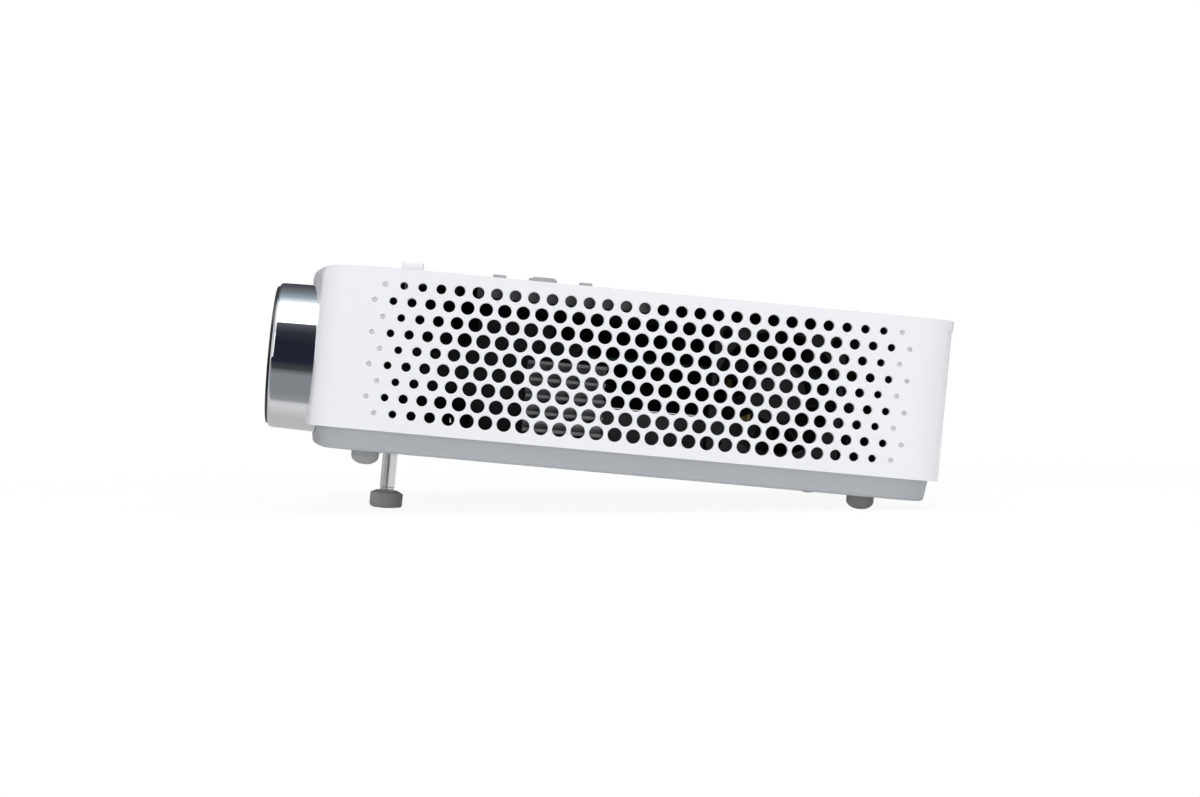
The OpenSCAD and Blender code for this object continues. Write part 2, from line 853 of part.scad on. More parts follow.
module fan_rotor() {
    blades = 7;
    long = fan_t - 4;
    tip = fan_bore / 2 - 0.9;
    color([0.1, 0.1, 0.1]) translate([fan_x, fan_y + 1.5, fan_z]) rotate([-90, 0, 0]) difference() {
        union() {
            cylinder(r = fan_hub_r, h = long);
            intersection() {
                cylinder(r = tip, h = long);
                for (k = [0 : blades - 1]) rotate(360 / blades * k) translate([tip / 2 + 4, 0, long / 2])
                    rotate([38, 0, 0]) cube([tip, 1.1, long * 1.1], center = true);
            }
        }
        translate([0, 0, -1]) cylinder(r = shaft_r + fit_gap, h = long + 2);
    }
}

// ---- electronics ----

// Sockets on the rear edge of the main board: place across, width, height
sockets = [[main_y0 + 22, 31, 11.4], [main_y0 + 54, 15.2, 5.8], [main_y0 + 74, 13.4, 6]];
jacks = [main_y0 + 90, main_y0 + 102];
jack_d = 3.6;
jack_z = main_z + main_t + 4.4;
inlet_d = 6.4;
inlet_in = 58;
inlet_y = drive_y0 + inlet_in;
board_hole_x = 55;
board_holes_y = [drive_y0 + 10, drive_y0 + 96];
inlet_z = 20;

module main_board() {
    color([0.05, 0.28, 0.15]) difference() {
        box(main_x0, main_x1, main_y0, main_y1, main_z, main_z + main_t);
        for (x = [-1, 1] * board_hole_x, y = board_holes_y)
            translate([x, y, main_z - 1]) cylinder(d = 3, h = main_t + 2);
    }
}

module board_chips() {
    chip_z = main_z + main_t;
    color([0.08, 0.08, 0.09]) {
        box(-34, -6, main_y0 + 34, main_y0 + 62, chip_z, chip_z + 2.4);
        box(6, 20, main_y0 + 30, main_y0 + 42, chip_z, chip_z + 1.2);
        box(6, 20, main_y0 + 50, main_y0 + 62, chip_z, chip_z + 1.2);
        for (k = [0 : 3]) translate([36 + 12 * k, main_y0 + 84, chip_z]) cylinder(d = 7, h = 9);
    }
}

module board_posts() {
    z0 = drive_z + drive_h;
    color("goldenrod") for (x = [-1, 1] * board_hole_x, y = board_holes_y) translate([x, y, z0]) {
        cylinder(d = 6, h = main_z - z0);
        cylinder(d = 2.8, h = main_z + main_t - z0);
        translate([0, 0, main_z + main_t - z0]) cylinder(d = 5.4, h = 1.8);
    }
}

power_z = 9;

module power_board() {
    x1 = x_rear - base_in - base_back - tongue_gap - tongue_t - gap;
    color([0.35, 0.22, 0.08]) {
        box(drive_w / 2 + 5, x1, drive_y0, drive_y0 + 70, power_z, power_z + 1.6);
        for (x = [drive_w / 2 + 10, x1 - 14], y = [drive_y0 + 6, drive_y0 + 62])
            translate([x, y, floor_t]) cylinder(d = 5, h = power_z - floor_t + 0.1);
    }
}

module power_parts() {
    top = power_z + 1.6;
    x0 = drive_w / 2 + 12;
    color([0.12, 0.12, 0.2]) {
        box(x0, x0 + 18, drive_y0 + 8, drive_y0 + 24, top, top + 16);
        for (k = [0, 1]) translate([x0 + 6 + 14 * k, drive_y0 + 36, top]) cylinder(d = 10, h = 18);
        translate([x0 + 28, drive_y0 + 14, top]) difference() {
            cylinder(d = 14, h = 8);
            translate([0, 0, -1]) cylinder(d = 5, h = 10);
        }
    }
}

module speaker() {
    y1 = y_side - wall;
    color([0.1, 0.1, 0.1]) translate([x_front + 41, y1, lens_z + 6]) rotate([90, 0, 0]) {
        difference() {
            cylinder(d = 32, h = 2);
            translate([0, 0, -1]) cylinder(d = 26, h = 2);
        }
        translate([0, 0, 1.9]) cylinder(r1 = 14, r2 = 8, h = 4);
        translate([0, 0, 5.8]) cylinder(d = 14, h = 3);
    }
}

// A rectangular socket: a metal shell with a tongue in it
module shell_socket(s, long, tongue) {
    t = 0.5;
    z0 = main_z + main_t;
    y0 = s[0] - s[1] / 2 + gap;
    y1 = s[0] + s[1] / 2 - gap;
    z1 = z0 + s[2] - gap;
    difference() {
        box(socket_x - long, socket_x, y0, y1, z0, z1);
        box(socket_x - long + 3, socket_x + 1, y0 + t, y1 - t, z0 + t, z1 - t);
    }
    box(socket_x - long + 2, socket_x - 1.4, s[0] - tongue / 2, s[0] + tongue / 2,
        (z0 + z1) / 2 - 0.9, (z0 + z1) / 2 + 0.9);
}

module hdmi_socket() { color("silver") shell_socket(sockets[1], 12, 10.4); }

module usb_socket() { color("silver") shell_socket(sockets[2], 13, 8.6); }

module vga_socket() {
    s = sockets[0];
    z0 = main_z + main_t;
    mid = z0 + 5.7;
    color([0.1, 0.15, 0.5]) difference() {
        union() {
            box(socket_x - 11, socket_x - 1.6, s[0] - 12, s[0] + 12, z0, z0 + 11);
            box(socket_x - 2.6, socket_x - 1.6, s[0] - 15.2, s[0] + 15.2, z0 + gap, z0 + 11.1);
            out_rear(socket_x - 2, s[0], mid) linear_extrude(5) round_rect(8.2, 17, 2.6);
            for (y = [-12.4, 12.4]) out_rear(socket_x - 2, s[0] + y, mid) cylinder(d = 5, h = 4.4, $fn = 6);
        }
        for (row = [-1 : 1], k = [0 : 4])
            out_rear(socket_x - 1, s[0] + (k - 2) * 2.3 + row * 0.6, mid + row * 2)
            cylinder(d = 0.9, h = 6);
        for (y = [-12.4, 12.4]) out_rear(socket_x - 1, s[0] + y, mid) cylinder(d = 2.5, h = 6);
    }
}

module jack(y) {
    difference() {
        union() {
            box(panel_x - 11, panel_x, y - 4, y + 4, main_z + main_t, jack_z + 4);
            out_rear(panel_x - 0.5, y, jack_z) cylinder(d = jack_d + 2, h = wall + 0.5);
        }
        out_rear(panel_x - 10, y, jack_z) cylinder(d = jack_d, h = 20);
    }
}

module av_jack() { color([0.9, 0.75, 0.1]) jack(jacks[0]); }

module audio_jack() { color([0.2, 0.7, 0.3]) jack(jacks[1]); }

module power_inlet() {
    color([0.05, 0.05, 0.05]) {
        difference() {
            union() {
                box(panel_x - 13, panel_x, inlet_y - 5, inlet_y + 5, power_z + 1.6, inlet_z + 5);
                out_rear(panel_x - 0.5, inlet_y, inlet_z) cylinder(d = inlet_d + 2, h = wall + 0.5);
            }
            out_rear(panel_x - 10, inlet_y, inlet_z) cylinder(d = inlet_d, h = 20);
        }
        out_rear(panel_x - 10.5, inlet_y, inlet_z) cylinder(d = 2.1, h = 11);
    }
}

// ---- keys ----

module direction_key(a) {
    color([0.62, 0.63, 0.64]) translate([keys_x, keys_y, 0]) rotate(a) {
        translate([0, 0, key_low + flange_t - 0.1])
            linear_extrude(z_top + key_h - key_low - flange_t + 0.1) key_outline(0);
        translate([0, 0, key_low]) linear_extrude(flange_t) key_outline(flange_w);
    }
}

module key_front() { direction_key(180); }

module key_rear() { direction_key(0); }

module key_near() { direction_key(270); }

module key_far() { direction_key(90); }

module round_key(y, d) {
    color([0.62, 0.63, 0.64]) translate([keys_x, y, key_low]) {
        cylinder(d = d, h = z_top + key_h - key_low);
        cylinder(d = d + 2 * flange_w, h = flange_t);
    }
}

module ok_key() { round_key(keys_y, ok_d); }

module power_key() { round_key(power_y, power_d); }

module key_board() {
    z0 = bracket_z + bracket_t;
    switch_h = key_low - key_travel - gap - z0;
    color([0.05, 0.28, 0.15]) {
        box(keys_x - 23, keys_x + 23, keys_y - 23, power_y + 8, z0, z0 + board_t);
        for (a = [0 : 90 : 270]) translate([keys_x + keys_r * cos(a), keys_y + keys_r * sin(a), z0])
            cylinder(d = 4, h = switch_h);
        for (y = [keys_y, power_y]) translate([keys_x, y, z0]) cylinder(d = 4, h = switch_h);
    }
}

module key_bracket() {
    x0 = keys_x - 25;
    x1 = keys_x + 41;
    y0 = -y_side + 8;
    y1 = power_y + 12;
    color("lightgray") {
        box(x0, x1, y0, y1, bracket_z, bracket_z + bracket_t);
        box(x0, x1, y0, y0 + bracket_t, bracket_z, z_lid);
        box(x0, x1, y1 - bracket_t, y1, bracket_z, z_lid);
    }
}

// ---- disc drive ----

module drive_chassis() {
    x = drive_w / 2;
    z1 = drive_z + drive_h - sheet;
    color("silver") difference() {
        box(-x, x, drive_y0, drive_y1 - gap, drive_z, z1);
        box(-x + sheet, x - sheet, drive_y0 + sheet, drive_y1 + 1, drive_z + sheet, z1 + 1);
        for (y = [drive_y0 + 30, drive_y0 + 78], s = [-1, 1])
            translate([s * 38, y, drive_z - 1]) cylinder(d = 14, h = 3);
    }
}

module drive_cover() {
    x = drive_w / 2;
    z1 = drive_z + drive_h;
    color("silver") {
        box(-x, x, drive_y0, drive_y1 - gap, z1 - sheet, z1);
    }
}

module drive_brackets() {
    color("gray") for (x = [8 - drive_w / 2, drive_w / 2 - 8], y = [drive_y0 + 10, drive_y1 - 14])
        translate([x, y, floor_t]) cylinder(d = 7, h = drive_z - floor_t);
}

module tray_rails() {
    x1 = drive_w / 2 - sheet - gap;
    color("gainsboro") for (s = [-1, 1])
        box(s > 0 ? x1 - rail_w : -x1, s > 0 ? x1 : rail_w - x1,
                drive_y0 + 9, drive_y1 - 8, rail_z, rail_z + rail_h);
}

module disc_tray() {
    groove_x = drive_w / 2 - sheet - gap - rail_w - gap;
    color([0.14, 0.14, 0.15]) difference() {
        box(-tray_w / 2, tray_w / 2, tray_y0, drive_y1, tray_z, tray_top);
        translate([0, disc_y, tray_top - recess]) cylinder(d = disc_d, h = 4);
        translate([0, disc_y, tray_top - recess - 0.5]) cylinder(d = 81, h = 4);
        translate([0, disc_y, tray_z - 1]) cylinder(r = motor_r + gap, h = 12);
        box(-window_w / 2, window_w / 2, window_y0, window_y1, tray_z - 1, tray_top + 1);
        box(-4, 4, window_y1 - 1, disc_y - motor_r + 1, tray_top - recess - 1, tray_top + 1);
        for (s = [-1, 1]) box(s > 0 ? groove_x : -tray_w, s > 0 ? tray_w : -groove_x, tray_y0 - 1, drive_y1 + 1,
            rail_z - gap, rail_z + rail_h + gap);
        for (s = [-1, 1]) rod_at(s * sled_rod_x, rod2_d + 0.04);
        rod_at(screw_x, screw_d + 2 * fit_gap);
        sled_motor_form(0.05);
        box(-9, 9, drive_y1 - 1.8, drive_y1 + 1, tray_top - 3, tray_top + 1);
    }
}

// A rod across the tray's window, its ends in the tray
module rod_at(x, d) {
    translate([x, window_y0 - 1.6, sled_z]) rotate([-90, 0, 0])
        cylinder(d = d, h = window_y1 - window_y0 + 3.2);
}

module sled_motor_form(g) {
    translate([screw_x, window_y1 + 1.6, sled_z]) rotate([-90, 0, 0]) cylinder(r = 2 + g, h = 10 + g);
}

module sled_motor() { color("gray") sled_motor_form(0); }

module sled_rods() {
    color("silver") for (s = [-1, 1]) rod_at(s * sled_rod_x, rod2_d);
}

module lead_screw() {
    thread_pitch = 3;
    color("silver") difference() {
        rod_at(screw_x, screw_d);
        for (k = [0 : floor((window_y1 - window_y0) / thread_pitch) - 1])
            translate([screw_x, window_y0 + 1 + thread_pitch * k, sled_z]) rotate([-90, 0, 0]) difference() {
                cylinder(d = screw_d + 1, h = 1.2);
                translate([0, 0, -1]) cylinder(d = screw_d - 0.6, h = 4);
            }
    }
}

module laser_sled() {
    z1 = sled_z + 1.8;
    color([0.3, 0.3, 0.32]) difference() {
        union() {
            box(-sled_w / 2, sled_w / 2, sled_y - sled_len / 2, sled_y + sled_len / 2, sled_z - 2, z1);
            box(sled_w / 2 - 1, screw_x - screw_d / 2 - 0.2, sled_y - 3, sled_y + 3,
                sled_z - 1.4, sled_z + 1.4);
            translate([0, sled_y, z1 - 0.1]) cylinder(d = 6.4, h = 0.7);
        }
        for (s = [-1, 1]) translate([s * sled_rod_x, sled_y - sled_len, sled_z]) rotate([-90, 0, 0])
            cylinder(d = rod2_d + 2 * fit_gap, h = 2 * sled_len);
        translate([0, sled_y, z1 - 0.6]) cylinder(d = 4, h = 3);
    }
}

module spindle_motor() {
    color("silver") translate([0, disc_y, 0]) {
        translate([0, 0, tray_z - sheet]) linear_extrude(sheet) round_rect(40, 34, 4);
        translate([0, 0, tray_z - 0.1]) cylinder(r = motor_r, h = 3.6);
        translate([0, 0, tray_z]) cylinder(d = 2, h = 5.4);
    }
}

module disc_hub() {
    table_z = tray_z + 3.8;
    color([0.2, 0.2, 0.21]) translate([0, disc_y, table_z]) difference() {
        union() {
            cylinder(r = motor_r - 0.3, h = 1.8);
            translate([0, 0, 1.7]) cylinder(d = hub_d, h = 1.1);
            translate([0, 0, 2.7]) cylinder(d1 = hub_d, d2 = hub_d - 1.6, h = 0.7);
        }
        translate([0, 0, -1]) cylinder(r = 1 + fit_gap, h = 2.7);
        for (a = [0, 120, 240]) rotate(a) translate([hub_d / 2, 0, 1.8]) cylinder(d = 1.8, h = 3);
    }
}

module tray_bezel() {
    z0 = drive_z + (drive_h - bezel_h) / 2;
    color("white") difference() {
        box(-bezel_w / 2, bezel_w / 2, drive_y1, y_side, z0, z0 + bezel_h);
        box(-bezel_w / 2 - 1, bezel_w / 2 + 1, drive_y1 - 1, y_side - wall + 0.9, tray_top, z0 + bezel_h + 1);
        box(eject_x - 5 - gap, eject_x + 5 + gap, drive_y1 - 1, y_side + 1, z0 + 5 - gap, z0 + 8 + gap);
        translate([eject_x - 14, y_side + 1, z0 + 6.5]) rotate([90, 0, 0]) cylinder(d = 1.3, h = 8);
    }
}

module eject_button() {
    z0 = drive_z + (drive_h - bezel_h) / 2;
    color([0.62, 0.63, 0.64]) box(eject_x - 5, eject_x + 5, drive_y1 + 0.9, y_side + 0.6, z0 + 5, z0 + 8);
}

left_panel();
right_panel();
far_grille();
top_cover();
front_panel();
rear_panel();
base_tray();
standoffs();
case_screws();
rubber_feet();
foot_guide();
foot_rod();
foot_pad();
lens_ring();
lens_bezel();
lens_barrel();
front_lens();
rear_lens();
lens_mount();
focus_ring();
focus_slider();
light_engine();
heat_sink();
fan_frame();
fan_rotor();
main_board();
board_chips();
board_posts();
power_board();
power_parts();
speaker();
hdmi_socket();
usb_socket();
vga_socket();
av_jack();
audio_jack();
power_inlet();
ir_window();
key_front();
key_rear();
key_near();
key_far();
ok_key();
power_key();
key_board();
key_bracket();
drive_chassis();
drive_cover();
drive_brackets();
tray_rails();
disc_tray();
tray_bezel();
spindle_motor();
disc_hub();
laser_sled();
sled_rods();
lead_screw();
sled_motor();
eject_button();
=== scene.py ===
import bpy
import json
import math
from mathutils import Matrix, Vector


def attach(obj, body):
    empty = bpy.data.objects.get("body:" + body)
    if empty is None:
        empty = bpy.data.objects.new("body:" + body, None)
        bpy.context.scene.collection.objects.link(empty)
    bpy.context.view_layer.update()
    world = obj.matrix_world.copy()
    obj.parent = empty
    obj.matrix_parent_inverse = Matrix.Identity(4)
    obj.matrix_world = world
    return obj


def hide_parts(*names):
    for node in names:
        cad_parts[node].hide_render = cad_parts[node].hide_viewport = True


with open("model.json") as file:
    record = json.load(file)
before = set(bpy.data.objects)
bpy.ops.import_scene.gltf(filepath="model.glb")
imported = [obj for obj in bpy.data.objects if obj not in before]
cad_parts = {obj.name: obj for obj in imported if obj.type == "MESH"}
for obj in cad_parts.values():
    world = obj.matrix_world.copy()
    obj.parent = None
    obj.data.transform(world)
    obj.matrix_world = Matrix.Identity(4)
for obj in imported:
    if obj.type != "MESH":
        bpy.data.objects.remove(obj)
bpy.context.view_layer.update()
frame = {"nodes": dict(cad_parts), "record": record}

nodes = frame["nodes"]
mm = 0.001
mergeWithin = 0.004  # points closer than this become one, in millimetres
print("frame loaded:", len(nodes), "pieces")


def clearSelection():
    if bpy.context.object and bpy.context.object.mode != "OBJECT":
        bpy.ops.object.mode_set(mode="OBJECT")
    bpy.ops.object.select_all(action="DESELECT")


def activate(obj):
    clearSelection()
    obj.select_set(True)
    bpy.context.view_layer.objects.active = obj


def named(name):
    obj = bpy.context.object
    obj.name = name
    obj.data.name = name
    return obj


def startEdit(obj, mode="FACE"):
    activate(obj)
    bpy.ops.object.mode_set(mode="EDIT")
    bpy.ops.mesh.select_mode(type=mode)
    bpy.ops.mesh.select_all(action="DESELECT")
    bpy.ops.object.mode_set(mode="OBJECT")


def pickEdges(obj, test):
    startEdit(obj, "EDGE")
    points = obj.data.vertices
    for edge in obj.data.edges:
        edge.select = test(points[edge.vertices[0]].co, points[edge.vertices[1]].co)
    bpy.ops.object.mode_set(mode="EDIT")


def editAll(obj, mode=None):
    activate(obj)
    bpy.ops.object.mode_set(mode="EDIT")
    if mode:
        bpy.ops.mesh.select_mode(type=mode)
    bpy.ops.mesh.select_all(action="SELECT")


def leaveEdit():
    bpy.ops.object.mode_set(mode="OBJECT")


def freeze(obj):
    activate(obj)
    bpy.ops.object.transform_apply(location=True, rotation=True, scale=True)


def applyModifiers(obj):
    activate(obj)
    for mod in list(obj.modifiers):
        bpy.ops.object.modifier_apply(modifier=mod.name)


def tidyMesh(obj):
    editAll(obj)
    bpy.ops.mesh.remove_doubles(threshold=mergeWithin * mm)
    bpy.ops.mesh.normals_make_consistent(inside=False)
    leaveEdit()


def softenEdges(obj, width, segments, angle):
    mod = obj.modifiers.new("edges", "BEVEL")
    mod.width = width * mm
    mod.segments = segments
    mod.limit_method = "ANGLE"
    mod.angle_limit = math.radians(angle)
    mod.miter_outer = "MITER_ARC"
    applyModifiers(obj)


def smooth(obj, angle=35):
    activate(obj)
    bpy.ops.object.shade_smooth_by_angle(angle=math.radians(angle))


# large faces keep their own direction where they meet small rounded ones
def evenShading(obj):
    mod = obj.modifiers.new("shading", "WEIGHTED_NORMAL")
    mod.weight = 100
    mod.keep_sharp = True
    applyModifiers(obj)


def cut(obj, cutter):
    mod = obj.modifiers.new("cut", "BOOLEAN")
    mod.operation = "DIFFERENCE"
    mod.solver = "EXACT"
    mod.object = cutter
    applyModifiers(obj)
    bpy.data.objects.remove(cutter)


def joinAll(objects, name):
    clearSelection()
    for obj in objects:
        obj.select_set(True)
    bpy.context.view_layer.objects.active = objects[0]
    bpy.ops.object.join()
    return named(name)


# a copy with its own mesh
def copyOf(obj):
    twin = obj.copy()
    twin.data = obj.data.copy()
    bpy.context.collection.objects.link(twin)
    return twin


def block(name, low, high):
    clearSelection()
    middle = [(a + b) / 2 * mm for a, b in zip(low, high)]
    bpy.ops.mesh.primitive_cube_add(size=1, location=middle)
    obj = named(name)
    obj.scale = [(b - a) * mm for a, b in zip(low, high)]
    freeze(obj)
    return obj


# an upright block round a place seen from above, by its half sizes
def post(name, x, y, half, low, high):
    return block(name, (x - half[0], y - half[1], low), (x + half[0], y + half[1], high))


# a wall that follows a path seen from above, drawn out edge by edge
def pathWall(name, path, low, high):
    clearSelection()
    bpy.ops.mesh.primitive_plane_add(size=1, location=(0, 0, 0))
    obj = named(name)
    startEdit(obj, "VERT")
    for v in obj.data.vertices:
        v.select = v.co.x > 0
    bpy.ops.object.mode_set(mode="EDIT")
    bpy.ops.mesh.delete(type="VERT")
    leaveEdit()
    x, y = path[0]
    for v, z in zip(obj.data.vertices, (low, high)):
        v.co = (x * mm, y * mm, z * mm)
    editAll(obj, "EDGE")
    for newX, newY in path[1:]:
        step = ((newX - x) * mm, (newY - y) * mm, 0)
        bpy.ops.mesh.extrude_region_move(TRANSFORM_OT_translate={"value": step})
        x, y = newX, newY
    leaveEdit()
    return obj


def rod(name, radius, start, end, sides):
    clearSelection()
    a, b = Vector(start) * mm, Vector(end) * mm
    bpy.ops.mesh.primitive_cylinder_add(
        vertices=sides, radius=radius * mm, depth=(b - a).length, location=(a + b) / 2)
    obj = named(name)
    obj.rotation_mode = "QUATERNION"
    obj.rotation_quaternion = Vector((0, 0, 1)).rotation_difference(b - a)
    freeze(obj)
    return obj


# turns a profile of (radius, height) round z, ring by ring; a closed one ends where it starts
def turned(name, profile, sides=96, closed=False):
    clearSelection()
    radius, height = profile[0]
    bpy.ops.mesh.primitive_circle_add(vertices=sides, radius=radius * mm, location=(0, 0, height * mm))
    obj = named(name)
    freeze(obj)
    editAll(obj, "EDGE")
    if not closed:
        bpy.ops.mesh.edge_face_add()
    for newRadius, newHeight in profile[1:]:
        grow = newRadius / radius
        bpy.ops.mesh.extrude_region_move(TRANSFORM_OT_translate={"value": (0, 0, (newHeight - height) * mm)})
        bpy.ops.transform.resize(value=(grow, grow, 1), center_override=(0, 0, newHeight * mm))
        radius, height = newRadius, newHeight
    leaveEdit()
    tidyMesh(obj)
    return obj


def closeEnds(obj):
    startEdit(obj, "VERT")
    bpy.ops.object.mode_set(mode="EDIT")
    bpy.ops.mesh.select_non_manifold()
    bpy.ops.mesh.edge_face_add()
    leaveEdit()


# stands a turned piece on the lens axis, its height pointing forward from x
def ontoLens(obj, x):
    place = Matrix.Translation(Vector((x, lensAxis["y"], lensAxis["z"])) * mm)
    obj.matrix_world = place @ Matrix.Rotation(math.radians(-90), 4, "Y")
    freeze(obj)
    return obj


# points along an arc round (x, y), from one angle to another
def arc(x, y, r, start, end, steps):
    turns = [math.radians(start + (end - start) * k / steps) for k in range(steps + 1)]
    return [(x + r * math.cos(t), y + r * math.sin(t)) for t in turns]


# finishes a piece, puts it on its body and hides the solids that it stands for
def hand(obj, body, slot, *replaced):
    obj.data.materials.clear()
    obj.data.materials.append(finishes[slot])
    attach(obj, body)
    if replaced:
        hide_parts(*replaced)
    return obj


def wire(tree, source, output, target, entry):
    tree.links.new(source.outputs[output], target.inputs[entry])


# painted shade: a near-black colour on all that lies within the given box of the part, standing in for the
# shade inside the shell
def addPaintedShade(tree, place, tint, shader, paintedShade):
    parts = tree.nodes.new("ShaderNodeSeparateXYZ")
    wire(tree, place, "Object", parts, "Vector")
    inside = None
    for axis, low, high in paintedShade["box"]:
        for limit, operation in ((low, "GREATER_THAN"), (high, "LESS_THAN")):
            step = tree.nodes.new("ShaderNodeMath")
            step.operation = operation
            step.inputs[1].default_value = limit * mm
            wire(tree, parts, axis, step, 0)
            if inside:
                both = tree.nodes.new("ShaderNodeMath")
                both.operation = "MULTIPLY"
                wire(tree, inside, "Value", both, 0)
                wire(tree, step, "Value", both, 1)
                inside = both
            else:
                inside = step
    paint = tree.nodes.new("ShaderNodeMix")
    paint.data_type = "RGBA"
    paint.inputs[7].default_value = (*paintedShade["colour"], 1)
    wire(tree, inside, "Value", paint, 0)
    tree.links.new(tint.outputs["Color"], paint.inputs[6])
    tree.links.new(paint.outputs[2], shader.inputs["Base Color"])


grainDepth = 0.05  # in millimetres


# a moulded or metal finish: fine grain in the bump and the gloss, slow drift in the colour
def surface(name, look):
    material = bpy.data.materials.new(name)
    material.use_nodes = True
    tree = material.node_tree
    shader = tree.nodes["Principled BSDF"]
    shader.inputs["Metallic"].default_value = look.get("metal", 0)
    shader.inputs["IOR"].default_value = look.get("ior", 1.5)
    shader.inputs["Coat Weight"].default_value = look.get("coat", 0)
    shader.inputs["Coat Roughness"].default_value = look.get("coatRough", 0.1)
    shader.inputs["Subsurface Weight"].default_value = look.get("inner", 0)
    shader.inputs["Subsurface Scale"].default_value = look.get("innerDepth", 1) * mm
    shader.inputs["Transmission Weight"].default_value = look.get("clear", 0)
    place = tree.nodes.new("ShaderNodeTexCoord")
    stretch = tree.nodes.new("ShaderNodeMapping")
    stretch.inputs["Scale"].default_value = look.get("stretch", (1, 1, 1))
    wire(tree, place, "Object", stretch, "Vector")

    slow = tree.nodes.new("ShaderNodeTexNoise")
    slow.inputs["Scale"].default_value = look.get("driftScale", 25)
    slow.inputs["Detail"].default_value = 3
    wire(tree, place, "Object", slow, "Vector")
    tint = tree.nodes.new("ShaderNodeValToRGB")
    drift = look.get("drift", 0.02)
    base = look["colour"]
    tint.color_ramp.elements[0].position = 0.3
    tint.color_ramp.elements[0].color = [max(0, c * (1 - drift)) for c in base] + [1]
    tint.color_ramp.elements[1].position = 0.7
    tint.color_ramp.elements[1].color = [min(1, c * (1 + drift)) for c in base] + [1]
    wire(tree, slow, "Fac", tint, "Fac")
    # painted shade inside the shell, for looks that carry it
    if look.get("paintedShade"):
        addPaintedShade(tree, place, tint, shader, look["paintedShade"])
    else:
        wire(tree, tint, "Color", shader, "Base Color")

    fine = tree.nodes.new("ShaderNodeTexNoise")
    fine.inputs["Scale"].default_value = look.get("grainScale", 900)
    fine.inputs["Detail"].default_value = 4
    wire(tree, stretch, "Vector", fine, "Vector")
    gloss = tree.nodes.new("ShaderNodeMapRange")
    rough = look.get("rough", 0.4)
    spread = look.get("roughSpread", 0.04)
    gloss.inputs["To Min"].default_value = max(0.01, rough - spread)
    gloss.inputs["To Max"].default_value = rough + spread
    wire(tree, fine, "Fac", gloss, "Value")
    wire(tree, gloss, "Result", shader, "Roughness")
    bump = tree.nodes.new("ShaderNodeBump")
    bump.inputs["Strength"].default_value = look.get("grain", 0.1)
    bump.inputs["Distance"].default_value = grainDepth * mm
    wire(tree, fine, "Fac", bump, "Height")
    wire(tree, bump, "Normal", shader, "Normal")
    return material


# painted shade: near-black colour inside the white shell, reaching into the hole walls, where the lamps
# leave it in shade
paintedShade = {
    "colour": (0.012, 0.012, 0.013),
    "box": (("X", -105, 106.7), ("Y", -105.4, 105.2), ("Z", 1, 66.75)),
}

